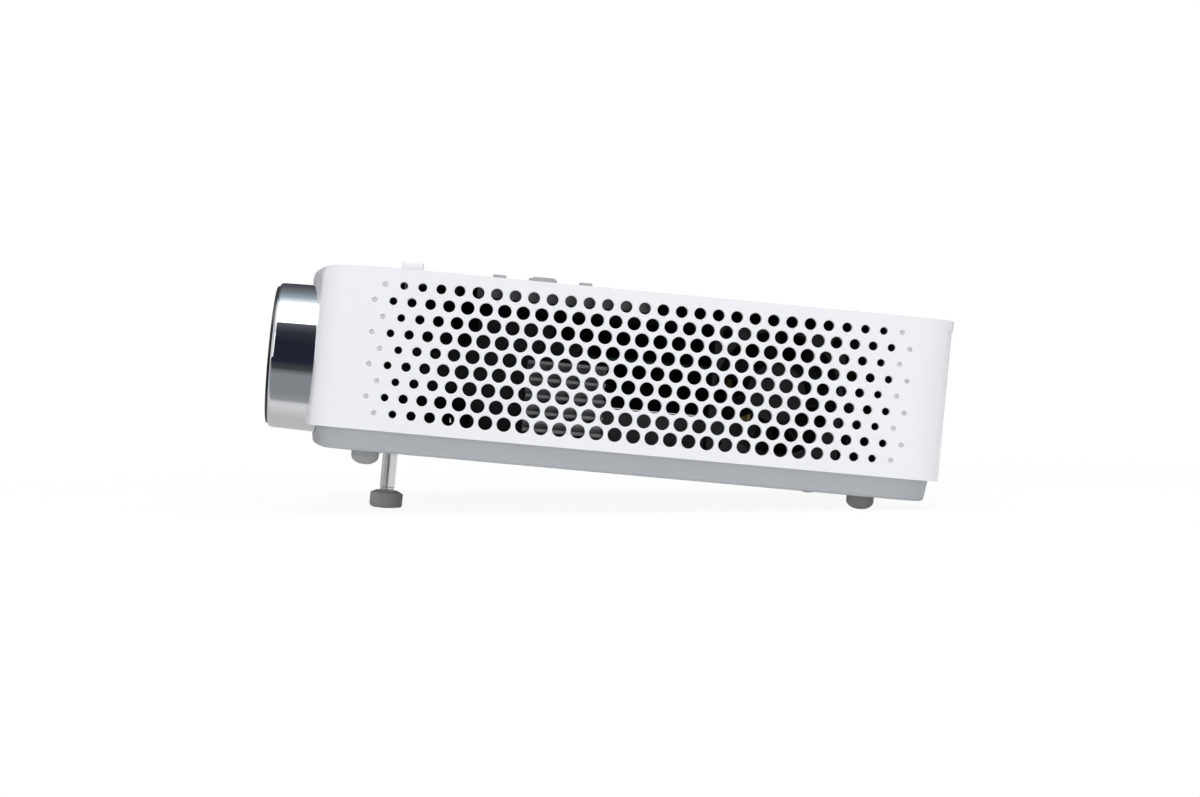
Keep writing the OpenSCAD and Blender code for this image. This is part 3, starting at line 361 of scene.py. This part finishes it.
# one look for each slot; what a look leaves out is that of plain moulded plastic
looks = {
    "white_case": dict(
        colour=(0.79, 0.80, 0.825), rough=0.34, roughSpread=0.03, grain=0.05, grainScale=1400,
        drift=0.006, coat=0.15, coatRough=0.2, paintedShade=paintedShade),
    "base_grey": dict(colour=(0.40, 0.42, 0.44), rough=0.5, grain=0.18, grainScale=1800, drift=0.02),
    "foot_rubber": dict(colour=(0.38, 0.385, 0.39), rough=0.62, grain=0.35, grainScale=1500, drift=0.06),
    "chromed_ring": dict(
        colour=(0.80, 0.83, 0.87), metal=1, rough=0.035, roughSpread=0.008, grain=0.012, grainScale=260,
        drift=0.01),
    "steel_rod": dict(
        colour=(0.7, 0.7, 0.7), metal=0.92, rough=0.2, roughSpread=0.06, grain=0.12, grainScale=500,
        stretch=(1, 1, 0.06), drift=0.03),
    "black_trim": dict(colour=(0.012, 0.012, 0.014), rough=0.28, grain=0.08, grainScale=1600, drift=0.1),
    "black_inner": dict(colour=(0.01, 0.01, 0.011), rough=0.6, grain=0.2, grainScale=1300, drift=0.12),
    "lens_glass": dict(
        colour=(0.55, 0.6, 0.72), rough=0.03, roughSpread=0.01, grain=0.0, clear=1, ior=1.5, coat=0.6,
        coatRough=0.03, drift=0.02),
    "knob_white": dict(
        colour=(0.85, 0.85, 0.86), rough=0.3, inner=0.5, innerDepth=3, grain=0.05, drift=0.01),
    "key_grey": dict(colour=(0.36, 0.37, 0.38), rough=0.48, grain=0.15, grainScale=1800, drift=0.03),
    "dark_metal": dict(
        colour=(0.02, 0.02, 0.022), metal=0.6, rough=0.45, grain=0.3, grainScale=700, drift=0.1),
    # painted shade: fin and sheet steel colours are much darker than bare metal, standing in for the shade
    # inside the shell
    "fin_metal": dict(
        colour=(0.26, 0.265, 0.27), metal=1, rough=0.36, roughSpread=0.08, grain=0.25, grainScale=600,
        stretch=(0.05, 1, 1), drift=0.04),
    "sheet_steel": dict(
        colour=(0.2, 0.205, 0.21), metal=1, rough=0.4, roughSpread=0.12, grain=0.15, grainScale=260,
        drift=0.06),
    "screw_steel": dict(
        colour=(0.12, 0.12, 0.125), metal=1, rough=0.4, grain=0.2, grainScale=900, drift=0.1),
    "board_green": dict(
        colour=(0.02, 0.11, 0.055), rough=0.35, grain=0.3, grainScale=420, drift=0.35, driftScale=260),
    "board_brown": dict(
        colour=(0.17, 0.10, 0.04), rough=0.5, grain=0.3, grainScale=500, drift=0.2, driftScale=200),
    "chip_black": dict(colour=(0.02, 0.02, 0.022), rough=0.5, grain=0.25, grainScale=1100, drift=0.1),
    "post_brass": dict(
        colour=(0.66, 0.48, 0.2), metal=1, rough=0.3, grain=0.15, grainScale=700, drift=0.05),
    "socket_metal": dict(
        colour=(0.62, 0.62, 0.63), metal=1, rough=0.28, grain=0.12, grainScale=600, drift=0.04),
    "socket_blue": dict(colour=(0.02, 0.07, 0.36), rough=0.42, grain=0.15, grainScale=1200, drift=0.05),
    "jack_yellow": dict(colour=(0.75, 0.5, 0.02), rough=0.36, grain=0.1, grainScale=1200, drift=0.04),
    "jack_green": dict(colour=(0.05, 0.4, 0.11), rough=0.36, grain=0.1, grainScale=1200, drift=0.04),
    "infrared_red": dict(
        colour=(0.05, 0.004, 0.008), rough=0.1, roughSpread=0.03, grain=0.02, coat=0.5, drift=0.1),
    "rail_nylon": dict(colour=(0.6, 0.6, 0.57), rough=0.45, grain=0.2, grainScale=900, drift=0.04),
}


def finishName(slot):
    first, *rest = slot.split("_")
    return first + "".join(word.title() for word in rest)


finishes = {slot: surface(finishName(slot), look) for slot, look in looks.items()}
slotOf = {part["node"]: part["material_slot"] for part in frame["record"]["subparts"]}
for nodeName, obj in nodes.items():
    obj.data.materials.clear()
    obj.data.materials.append(finishes[slotOf[nodeName]])
print("finishes:", len(finishes))


# sizes shared by several pieces, in millimetres
body = {
    "front": -124.7, "side": 108, "wall": 3,
    "frontCorner": 12, "frontCornerX": -105.766, "frontCornerY": 96,
    "rearCorner": 18, "rearCornerX": 106.7, "rearCornerY": 90, "bow": 680,
    "baseTop": 8.1, "lid": 66.7, "frontSeamY": 95, "rearSeamX": 121.26,
    "lipBackX": -107.266, "lipBottom": 63.5,
}
lensAxis = {"y": -68, "z": 33.2}


# perforated side panel; a row is cut down by rowCut, and an edge of a hole is longer than one of a dimple
grille = {
    "pitch": 7, "longRow": 30, "rows": 9, "middleX": 4.8, "middleZ": 39.0,
    "hole": 5.4, "rowCut": {0: 0.9, 1: 0.3}, "endHole": 2.9, "gradedHoles": 4, "sides": 28,
    "dimple": 1.9, "dimpleDepth": 1.3, "rim": 0.42, "dimpleRim": 0.35,
    "holeEdge": (0.25, 1.2), "dimpleEdge": (0, 0.25), "foremost": -101,
    "bowSteps": 3, "frontSteps": 24, "rearSteps": 26, "rearTurn": 335,
}
clear = 2  # how far cutters and untrimmed walls reach past what they cut or meet


def holeSize(place, count, row):
    full = grille["hole"] - grille["rowCut"].get(row, 0)
    inFromEnd = min(place, count - 1 - place)
    graded = grille["gradedHoles"]
    return grille["endHole"] + (full - grille["endHole"]) * min(inFromEnd - 1, graded) / graded


def sideOutline():
    frontX, frontY, frontR = body["frontCornerX"], body["frontCornerY"], body["frontCorner"]
    bowX = body["front"] + body["bow"]
    meet = 180 + math.degrees(math.atan2(frontY, bowX - frontX))
    start = 180 + math.degrees(math.asin((body["frontSeamY"] - clear) / body["bow"]))
    path = arc(bowX, 0, body["bow"], start, meet, grille["bowSteps"])
    path += arc(frontX, -frontY, frontR, meet, 270, grille["frontSteps"])[1:]
    path += arc(body["rearCornerX"], -body["rearCornerY"], body["rearCorner"],
                270, grille["rearTurn"], grille["rearSteps"])
    return path


def makeGrillePanel():
    side, wall = body["side"], body["wall"]
    panel = pathWall("grillePanel", sideOutline(), body["baseTop"], body["lid"])
    if max(panel.data.polygons, key=lambda f: f.area).normal.y > 0:
        editAll(panel)
        bpy.ops.mesh.flip_normals()
        leaveEdit()
    mod = panel.modifiers.new("wall", "SOLIDIFY")
    mod.thickness = wall * mm
    mod.offset = -1
    applyModifiers(panel)
    # both ends are trimmed square at their seams
    for place, way in (((0, -body["frontSeamY"], 0), (0, 1, 0)), ((body["rearSeamX"], 0, 0), (1, 0, 0))):
        editAll(panel)
        bpy.ops.mesh.bisect(plane_co=Vector(place) * mm, plane_no=way, clear_outer=True, use_fill=True)
        leaveEdit()
    tidyMesh(panel)
    # one cutter, copied to every place of the lattice
    first = rod("holeCutter", 0.5, (0, -1, 0), (0, 1, 0), grille["sides"])
    cutters = []
    for row in range(grille["rows"]):
        count = grille["longRow"] - (row + 1) % 2
        z = grille["middleZ"] + ((grille["rows"] - 1) / 2 - row) * grille["pitch"] * math.sqrt(3) / 2
        for place in range(count):
            x = grille["middleX"] + (place - (count - 1) / 2) * grille["pitch"]
            cutter = copyOf(first)
            blind = place in (0, count - 1)
            size = grille["dimple"] if blind else holeSize(place, count, row)
            reach = (grille["dimpleDepth"] if blind else wall + 3 * clear) + clear
            cutter.scale = (size, reach / 2, size)
            cutter.location = (x * mm, (-side - clear + reach / 2) * mm, z * mm)
            cutters.append(cutter)
    bpy.data.objects.remove(first)
    low = (body["front"] - 1, -side - 1, body["lipBottom"])
    high = (body["lipBackX"], -side + 20, body["lid"] + 1)
    cutters.append(block("lipCutter", low, high))
    allCutters = joinAll(cutters, "holeCutters")
    freeze(allCutters)
    cut(panel, allCutters)
    # the holes get soft rims, the dimples smaller ones, and no other edge has one
    for share, (short, long) in ((1, grille["holeEdge"]), (grille["dimpleRim"], grille["dimpleEdge"])):
        pickEdges(panel, lambda a, b: (
            max(a.y, b.y) < (-side + 0.02) * mm and short * mm < (a - b).length < long * mm
            and min(a.x, b.x) > grille["foremost"] * mm and max(a.x, b.x) < body["rearCornerX"] * mm))
        bpy.ops.transform.edge_bevelweight(value=share)
        leaveEdit()
    mod = panel.modifiers.new("rims", "BEVEL")
    mod.width = grille["rim"] * mm
    mod.segments = 3
    mod.limit_method = "WEIGHT"
    mod.use_clamp_overlap = False
    applyModifiers(panel)
    smooth(panel, 40)
    evenShading(panel)
    return hand(panel, "housing", "white_case", "left_panel")


grillePanel = makeGrillePanel()
print("grille panel:", len(grillePanel.data.polygons), "faces")


ring = {
    "front": -134.6, "frontRadius": 28, "backRadius": 28.57, "rounding": 1.5, "bore": 24.5, "chamfer": 0.3,
    "length": 28, "baseBack": 4.25,
}


def makeLensRing():
    r, front, bore = ring["rounding"], ring["length"], ring["bore"]
    profile = [(bore, 0), (ring["backRadius"], 0), (ring["frontRadius"] + 0.05, front - r - 1)]
    profile += arc(ring["frontRadius"] - r, front - r, r, 0, 90, 10)
    profile += [(bore + ring["chamfer"], front), (bore, front - ring["chamfer"]), (bore, 0)]
    obj = turned("lensRing", profile, 160, closed=True)
    ontoLens(obj, ring["front"] + ring["length"])
    # scribed to the bowed front of the body, and below it to the base, which stands back
    parting = body["baseTop"] - 0.05
    for back, low, high in ((0, parting, 200), (ring["baseBack"], -100, parting)):
        clearSelection()
        bpy.ops.mesh.primitive_cylinder_add(
            vertices=1024, radius=body["bow"] * mm, depth=(high - low) * mm,
            location=((body["front"] + back + body["bow"]) * mm, 0, (low + high) / 2 * mm))
        cut(obj, named("bowCutter"))
    smooth(obj, 40)
    return hand(obj, "housing", "chromed_ring", "lens_ring")


makeLensRing()


# black bezel with stepped baffles; each baffle goes (in, back) to its face, its wall and the next one
bezel = {
    "lip": 26.6, "proud": 0.9, "rounding": 0.45, "tube": 24.2, "inner": 22.4, "back": -123.6, "mouth": 1.6,
    "steps": 6, "face": (0.28, 0.12), "wall": (0.34, 1.3), "next": (0.36, 1.3),
}


def makeLensBezel():
    length = bezel["back"] - ring["front"]
    lip, r, top = bezel["lip"], bezel["rounding"], length + bezel["proud"]
    profile = [(bezel["inner"], 0), (bezel["tube"], 0), (bezel["tube"], length)]
    profile += [(lip, length + 0.02), (lip, top - r)]
    profile += arc(lip - r, top - r, r, 15, 90, 5)
    x, z = lip - bezel["mouth"], top
    profile += [(x, z)]
    for k in range(bezel["steps"]):
        profile += [(x - inward, z - back) for inward, back in (bezel["face"], bezel["wall"])]
        x, z = x - bezel["next"][0], z - bezel["next"][1]
    profile += [(bezel["inner"], z - 0.2), (bezel["inner"], 0)]
    obj = turned("lensBezel", profile, 128, closed=True)
    ontoLens(obj, bezel["back"])
    smooth(obj, 30)
    return hand(obj, "housing", "black_trim", "lens_bezel")


makeLensBezel()


glass = {"radius": 20.2, "front": -128.1, "back": -121.1, "ball": 36, "rings": 16}
pole = 0.02  # smallest ring of a turned piece, whose middle is closed flat


def makeFrontLens():
    ball, rim = glass["ball"], glass["radius"]
    sag = ball - math.sqrt(ball ** 2 - rim ** 2)
    depth = glass["back"] - glass["front"]
    profile = [(pole, 0), (rim, 0), (rim, depth - sag)]
    for k in range(glass["rings"] - 1, -1, -1):
        r = max(rim * k / glass["rings"], pole)
        profile.append((r, depth - ball + math.sqrt(ball ** 2 - r ** 2)))
    obj = turned("frontLens", profile, 96)
    closeEnds(obj)
    ontoLens(obj, glass["back"])
    smooth(obj, 40)
    return hand(obj, "barrel", "lens_glass", "front_lens")


makeFrontLens()
print("lens done")


# rod and pad of the tilt foot, heights with the foot drawn out as in the photograph
foot = {
    "x": -86.9, "y": -42, "rod": 2.95, "rodTop": 14, "tip": 0.6, "seat": 2,
    "groove": ((0, 2.2), (0.25, 2.5), (0.25, 3.0), (0, 3.3)),
    "pad": 6.5, "padTop": -16.2, "padBottom": -23.2, "padRounding": 1.8,
    "sole": ((2.6, 0.35), (2.4, 0)), "shoulder": ((0, 1.5), (0.12, 1.1), (2.0, 0.15), (2.3, 0)),
}


def ontoFoot(obj):
    closeEnds(obj)
    obj.location = (foot["x"] * mm, foot["y"] * mm, 0)
    freeze(obj)
    smooth(obj, 35)
    return obj


def makeFootRod():
    low, top, r, tip = foot["padTop"] - foot["seat"], foot["rodTop"], foot["rod"], foot["tip"]
    profile = [(r, low)] + [(r - inward, low + up) for inward, up in foot["groove"]]
    profile += [(r, top - tip), (r - tip, top)]
    obj = ontoFoot(turned("footRod", profile, 64))
    return hand(obj, "tilt_foot", "steel_rod", "foot_rod")


def makeFootPad():
    low, top, r, rounding = foot["padBottom"], foot["padTop"], foot["pad"], foot["padRounding"]
    bore = foot["rod"] + 0.02
    profile = [(r - inward, low + up) for inward, up in foot["sole"]]
    profile += arc(r - rounding, low + rounding, rounding, -90, 0, 8)
    profile += [(r - inward, top - down) for inward, down in foot["shoulder"]]
    profile += [(bore, top), (bore, top - foot["seat"])]
    obj = ontoFoot(turned("footPad", profile, 72))
    return hand(obj, "tilt_foot", "foot_rubber", "foot_pad")


makeFootRod()
makeFootPad()
print("tilt foot done")


# domed feet; a lower fullness makes the dome squarer at its shoulder
fixedFoot = {
    "x": 95.6, "y": 86, "radius": 5.3, "top": 0.6, "bottom": -5.4, "dome": 3.3, "fullness": 0.9,
    "firstTurn": -86, "steps": 12,
}


def makeFixedFeet():
    r, low, dome, top = fixedFoot["radius"], fixedFoot["bottom"], fixedFoot["dome"], fixedFoot["top"]
    first, steps = fixedFoot["firstTurn"], fixedFoot["steps"]
    turns = [math.radians(first - first * k / steps) for k in range(steps + 1)]
    profile = [(pole, low)]
    profile += [(r * math.cos(t) ** fixedFoot["fullness"], low + dome * (1 + math.sin(t))) for t in turns]
    profile += [(r, top), (pole, top)]
    model = turned("fixedFoot", profile, 56)
    closeEnds(model)
    feet = []
    for x in (-fixedFoot["x"], fixedFoot["x"]):
        for y in (-fixedFoot["y"], fixedFoot["y"]):
            twin = copyOf(model)
            twin.location = (x * mm, y * mm, 0)
            feet.append(twin)
    bpy.data.objects.remove(model)
    obj = joinAll(feet, "fixedFeet")
    freeze(obj)
    smooth(obj, 35)
    return hand(obj, "housing", "foot_rubber", "rubber_feet")


makeFixedFeet()
print("fixed feet done")


# knob on the lid, with half sizes of its stem, plate and prongs
knob = {
    "x": -84.3, "y": -68, "wide": 8.2, "long": 11, "low": 70.0, "high": 74.3, "rounding": 0.7,
    "ribs": 5, "ribPitch": 2, "groove": (2.8, 0.4), "grooveDepth": 0.4,
    "stem": (2, 3), "stemLow": 66.2,
    "plate": (5, 9), "plateLow": 65.2, "plateHigh": 66.4, "plateRounding": 0.3,
    "prong": (2.5, 1.2), "prongOut": 3.4, "prongLow": 59.6, "prongHigh": 65.4,
}


def makeFocusKnob():
    x, y, high = knob["x"], knob["y"], knob["high"]
    cap = post("focusKnob", x, y, (knob["wide"] / 2, knob["long"] / 2), knob["low"], high)
    softenEdges(cap, knob["rounding"], 4, 40)
    grooves = []
    for k in range(knob["ribs"]):
        middle = y + knob["ribPitch"] * (k - (knob["ribs"] - 1) / 2)
        grooves.append(post("groove", x, middle, knob["groove"], high - knob["grooveDepth"], high + 1))
    cut(cap, joinAll(grooves, "grooves"))
    stem = post("stem", x, y, knob["stem"], knob["stemLow"], knob["low"] + 0.2)
    plate = post("plate", x, y, knob["plate"], knob["plateLow"], knob["plateHigh"])
    softenEdges(plate, knob["plateRounding"], 2, 40)
    prongs = []
    for middle in (y - knob["prongOut"], y + knob["prongOut"]):
        prongs.append(post("prong", x, middle, knob["prong"], knob["prongLow"], knob["prongHigh"]))
    obj = joinAll([cap, stem, plate] + prongs, "focusKnob")
    smooth(obj, 35)
    return hand(obj, "focus_knob", "knob_white", "focus_slider")


makeFocusKnob()
print("focus knob done")


# four arrow keys on a ring round the centre key, and the power key beside them
keys = {
    "x": -33.5, "y": -68, "low": 65.5, "high": 72.1,
    "ring": 17, "wide": 4.8, "span": 26, "cuts": 11, "arrowRounding": 0.45,
    "ok": 5.5, "power": 4.5, "powerY": -30, "rounding": 0.5,
    "flange": 0.9, "flangeOut": 1, "dish": 0.3, "dishRings": 8,
}


def makeArrowKey(name, turn, bodyName, node):
    half = math.radians(keys["span"] / 2)
    inner, outer = keys["ring"] - keys["wide"] / 2, keys["ring"] + keys["wide"] / 2
    clearSelection()
    bpy.ops.mesh.primitive_plane_add(size=1, location=(0, 0, 0))
    obj = named(name)
    editAll(obj)
    bpy.ops.mesh.subdivide(number_cuts=keys["cuts"])
    leaveEdit()
    # the flat grid is wrapped into a segment of a ring
    for v in obj.data.vertices:
        r = inner + (v.co.x + 0.5) * (outer - inner)
        t = v.co.y * 2 * half
        v.co = (r * math.cos(t) * mm, r * math.sin(t) * mm, keys["low"] * mm)
    editAll(obj)
    tall = (0, 0, (keys["high"] - keys["low"]) * mm)
    bpy.ops.mesh.extrude_region_move(TRANSFORM_OT_translate={"value": tall})
    leaveEdit()
    tidyMesh(obj)
    softenEdges(obj, keys["arrowRounding"], 3, 50)
    obj.rotation_euler = (0, 0, math.radians(turn))
    obj.location = (keys["x"] * mm, keys["y"] * mm, 0)
    freeze(obj)
    smooth(obj, 35)
    return hand(obj, bodyName, "key_grey", node)


def makeRoundKey(name, y, radius, bodyName, node):
    high, low, flange, r = keys["high"], keys["low"], keys["flange"], keys["rounding"]
    outer = radius + keys["flangeOut"]
    profile = [(outer, low), (outer, low + flange), (radius, low + flange)]
    profile += arc(radius - r, high - r, r, 0, 90, 5)
    # a shallow dish for the fingertip
    rings = keys["dishRings"]
    for k in range(rings - 1, 0, -1):
        profile.append((radius * k / rings, high - keys["dish"] * (1 - (k / rings) ** 2)))
    obj = turned(name, profile, 64)
    closeEnds(obj)
    obj.location = (keys["x"] * mm, y * mm, 0)
    freeze(obj)
    smooth(obj, 35)
    return hand(obj, bodyName, "key_grey", node)


for turn, side in ((0, "rear"), (90, "far"), (180, "front"), (270, "near")):
    makeArrowKey(side + "Key", turn, side + "_key", "key_" + side)
makeRoundKey("centreKey", keys["y"], keys["ok"], "centre_key", "ok_key")
makeRoundKey("powerKey", keys["powerY"], keys["power"], "on_key", "power_key")
print("keys done")


# dark strips behind the far grille and beside the tray that shut out the light coming in there; their
# near-black is painted shade for the inside of the shell; each from x to x and from z to z
shadeSheet = {
    "back": 103.9, "face": 104.9,
    "sheet": (-66.5, 93.5, 34, 62), "corner": (-84.5, -66.5, 55.6, 62),
    "frontShadeStrip": (-69, -64.8, 10.6, 24.2), "rearShadeStrip": (64.8, 69, 10.6, 24.2),
}


def makeShadeBlind():
    strips = []
    for part in ("sheet", "corner", "frontShadeStrip", "rearShadeStrip"):
        x0, x1, z0, z1 = shadeSheet[part]
        strips.append(block("strip", (x0, shadeSheet["back"], z0), (x1, shadeSheet["face"], z1)))
    obj = joinAll(strips, "shadeBlind")
    tidyMesh(obj)
    return hand(obj, "housing", "black_inner")


makeShadeBlind()
print("filter done")


# 1 for all that the camera, mirrors or glass see, 0 for the light on the object
def seenRays(tree):
    rays = tree.nodes.new("ShaderNodeLightPath")
    seen = tree.nodes.new("ShaderNodeMath")
    seen.operation = "MAXIMUM"
    wire(tree, rays, "Is Camera Ray", seen, 0)
    wire(tree, rays, "Is Glossy Ray", seen, 1)
    seenOrClear = tree.nodes.new("ShaderNodeMath")
    seenOrClear.operation = "MAXIMUM"
    wire(tree, seen, "Value", seenOrClear, 0)
    wire(tree, rays, "Is Transmission Ray", seenOrClear, 1)
    return seenOrClear


# floor under the pad and the two rear feet, with the nose raised as in the photograph
# near and far are in metres: the shadow shows up to near and is gone past far
floor = {
    "tilt": 5.57, "touchX": fixedFoot["x"], "touchZ": fixedFoot["bottom"], "size": 12,
    "near": 0.25, "far": 0.7, "nearShare": 0.93, "colour": (0.9, 0.9, 0.9, 1),
}


def floorMaterial():
    material = bpy.data.materials.new("paleFloor")
    material.use_nodes = True
    tree = material.node_tree
    shader = tree.nodes["Principled BSDF"]
    shader.inputs["Base Color"].default_value = floor["colour"]
    shader.inputs["Roughness"].default_value = 0.9
    shader.inputs["Specular IOR Level"].default_value = 0.1
    glow = tree.nodes.new("ShaderNodeEmission")
    glow.inputs["Color"].default_value = (1, 1, 1, 1)
    glow.inputs["Strength"].default_value = 1.0
    # shadow near the object, pure white further out
    place = tree.nodes.new("ShaderNodeTexCoord")
    reach = tree.nodes.new("ShaderNodeVectorMath")
    reach.operation = "LENGTH"
    wire(tree, place, "Object", reach, 0)
    fade = tree.nodes.new("ShaderNodeMapRange")
    fade.inputs["From Min"].default_value = floor["near"]
    fade.inputs["From Max"].default_value = floor["far"]
    fade.inputs["To Min"].default_value = floor["nearShare"]
    fade.inputs["To Max"].default_value = 1
    wire(tree, reach, "Value", fade, "Value")
    share = tree.nodes.new("ShaderNodeMath")
    share.operation = "MULTIPLY"
    wire(tree, fade, "Result", share, 1)
    wire(tree, seenRays(tree), "Value", share, 0)
    mix = tree.nodes.new("ShaderNodeMixShader")
    wire(tree, share, "Value", mix, "Fac")
    tree.links.new(shader.outputs["BSDF"], mix.inputs[1])
    tree.links.new(glow.outputs["Emission"], mix.inputs[2])
    wire(tree, mix, "Shader", tree.nodes["Material Output"], "Surface")
    return material


def makeFloor():
    clearSelection()
    place = (floor["touchX"] * mm, 0, floor["touchZ"] * mm)
    bpy.ops.mesh.primitive_plane_add(size=floor["size"], location=place)
    obj = named("studioFloor")
    obj.rotation_euler = (0, math.radians(-floor["tilt"]), 0)
    obj.data.materials.append(floorMaterial())


makeFloor()


studio = {"fill": (0.97, 0.985, 1, 1), "fillStrength": 0.57}


def makeWorld():
    world = bpy.data.worlds.new("studio")
    bpy.context.scene.world = world
    world.use_nodes = True
    tree = world.node_tree
    fill = tree.nodes["Background"]
    fill.inputs["Color"].default_value = studio["fill"]
    fill.inputs["Strength"].default_value = studio["fillStrength"]
    white = tree.nodes.new("ShaderNodeBackground")
    white.inputs["Color"].default_value = (1, 1, 1, 1)
    white.inputs["Strength"].default_value = 1
    mix = tree.nodes.new("ShaderNodeMixShader")
    wire(tree, seenRays(tree), "Value", mix, "Fac")
    tree.links.new(fill.outputs["Background"], mix.inputs[1])
    tree.links.new(white.outputs["Background"], mix.inputs[2])
    wire(tree, mix, "Shader", tree.nodes["World Output"], "Surface")


makeWorld()


# places, aims and sizes in metres, power in watts
lamps = {
    "topSoftbox": {"place": (0, -0.35, 1.1), "aim": (0, -0.05, 0.03), "size": (1.3, 0.9), "power": 8.2},
    "nearFill": {"place": (-0.3, -1.6, 0.55), "aim": (0, -0.1, 0.03), "size": (1.2, 0.9), "power": 6.2},
}


def addLamp(name, place, aim, size, power):
    lamp = bpy.data.lights.new(name, "AREA")
    lamp.shape = "RECTANGLE"
    lamp.size, lamp.size_y = size
    lamp.energy = power
    obj = bpy.data.objects.new(name, lamp)
    bpy.context.collection.objects.link(obj)
    obj.location = place
    obj.rotation_mode = "QUATERNION"
    obj.rotation_quaternion = (Vector(aim) - Vector(place)).to_track_quat("-Z", "Y")


for name, lamp in lamps.items():
    addLamp(name, **lamp)


# cards that the chromed ring and the rod mirror, hidden from the camera, in metres and degrees
# the tones run along the card's own y, from 0 to 1
cards = {
    "nearCard": {"place": (-0.24, -1.0, 0.71), "turn": (90, 0, 0), "size": (0.52, 1.72), "tones": (
        (0, (0.018, 0.022, 0.036)), (0.3, (0.014, 0.016, 0.028)), (0.5, (0.03, 0.033, 0.042)),
        (0.72, (0.09, 0.095, 0.105)), (0.9, (0.2, 0.21, 0.23)), (1, (0.4, 0.42, 0.45)))},
    "nearGreyCard": {"place": (0.66, -1.0, 0.66), "turn": (90, 0, 0), "size": (1.28, 1.62), "tones": (
        (0, (0.3, 0.3, 0.31)), (1, (0.4, 0.4, 0.41)))},
    "floorCard": {"place": (-0.12, -0.35, -0.022), "turn": (0, 0, 0), "size": (1.6, 1.3), "tones": (
        (0, (0.018, 0.022, 0.036)), (0.46, (0.018, 0.022, 0.036)), (0.593, (0.06, 0.066, 0.07)),
        (0.633, (0.26, 0.275, 0.285)), (0.681, (0.26, 0.275, 0.28)), (0.695, (0.36, 0.36, 0.365)),
        (0.6954, (0.78, 0.76, 0.74)), (0.7064, (0.67, 0.655, 0.64)), (0.7157, (0.56, 0.55, 0.54)),
        (1, (0.52, 0.51, 0.5)))},
    "farCard": {"place": (-0.12, 1.1, 0.58), "turn": (90, 0, 0), "size": (2.4, 1.26), "tones": (
        (0, (0.05, 0.053, 0.06)), (0.5, (0.075, 0.078, 0.085)), (1, (0.12, 0.13, 0.135)))},
    "overheadCard": {"place": (-0.12, 0.55, 1.08), "turn": (0, 0, 0), "size": (2.4, 1.1), "tones": (
        (0, (0.97, 0.98, 1)), (0.06, (0.9, 0.93, 0.96)), (0.12, (0.66, 0.73, 0.78)),
        (0.2, (0.42, 0.49, 0.54)), (0.38, (0.27, 0.31, 0.34)), (0.6, (0.18, 0.2, 0.215)),
        (1, (0.12, 0.13, 0.135)))},
    "rearSideCard": {"place": (1.3, 0, 0.4), "turn": (90, 0, 90), "size": (2.0, 1.2), "tones": (
        (0, (0.4, 0.4, 0.41)), (1, (0.5, 0.5, 0.51)))},
    "frontSideCard": {"place": (-1.5, 0, 0.4), "turn": (90, 0, 90), "size": (2.0, 1.2), "tones": (
        (0, (0.8, 0.8, 0.81)), (1, (0.5, 0.5, 0.51)))},
}


def cardMaterial(name, tones):
    material = bpy.data.materials.new(name)
    material.use_nodes = True
    tree = material.node_tree
    shader = tree.nodes["Principled BSDF"]
    shader.inputs["Base Color"].default_value = (0, 0, 0, 1)
    shader.inputs["Specular IOR Level"].default_value = 0
    shader.inputs["Emission Strength"].default_value = 1
    place = tree.nodes.new("ShaderNodeTexCoord")
    parts = tree.nodes.new("ShaderNodeSeparateXYZ")
    along = tree.nodes.new("ShaderNodeMath")
    along.inputs[1].default_value = 0.5
    ramp = tree.nodes.new("ShaderNodeValToRGB")
    wire(tree, place, "Object", parts, "Vector")
    wire(tree, parts, "Y", along, 0)
    wire(tree, along, "Value", ramp, "Fac")
    wire(tree, ramp, "Color", shader, "Emission Color")
    while len(ramp.color_ramp.elements) < len(tones):
        ramp.color_ramp.elements.new(0.5)
    for stop, (position, tone) in zip(ramp.color_ramp.elements, tones):
        stop.position = position
        stop.color = (*tone, 1)
    return material


def mirrorCard(name, place, turn, size, tones):
    clearSelection()
    bpy.ops.mesh.primitive_plane_add(size=1, location=place)
    obj = named(name)
    obj.scale = (*size, 1)
    obj.rotation_euler = [math.radians(a) for a in turn]
    obj.data.materials.append(cardMaterial(name, tones))
    obj.visible_camera = False
    obj.visible_diffuse = False
    obj.visible_shadow = False
    obj.visible_transmission = False


for name, card in cards.items():
    mirrorCard(name, **card)
print("studio done")


# in metres and millimetres of lens, with the picture's right, up and backward directions
camera = {
    "lens": 90, "sensor": 36, "place": (-0.06336390, -1.23695415, 0.02988950),
    "right": (0.99462221, -0.04773358, 0.09191391), "up": (-0.09172408, 0.00615676, 0.99576543),
    "backward": (-0.04809734, -0.99884113, 0.00174533),
}


def makeCamera():
    data = bpy.data.cameras.new("camera")
    data.sensor_width = camera["sensor"]
    data.lens = camera["lens"]
    data.clip_start = 0.05
    data.clip_end = 50
    obj = bpy.data.objects.new("camera", data)
    bpy.context.collection.objects.link(obj)
    turn = Matrix((camera["right"], camera["up"], camera["backward"])).transposed()
    obj.matrix_world = Matrix.Translation(camera["place"]) @ turn.to_4x4()
    bpy.context.scene.camera = obj


makeCamera()
bpy.context.scene.view_settings.view_transform = "Standard"
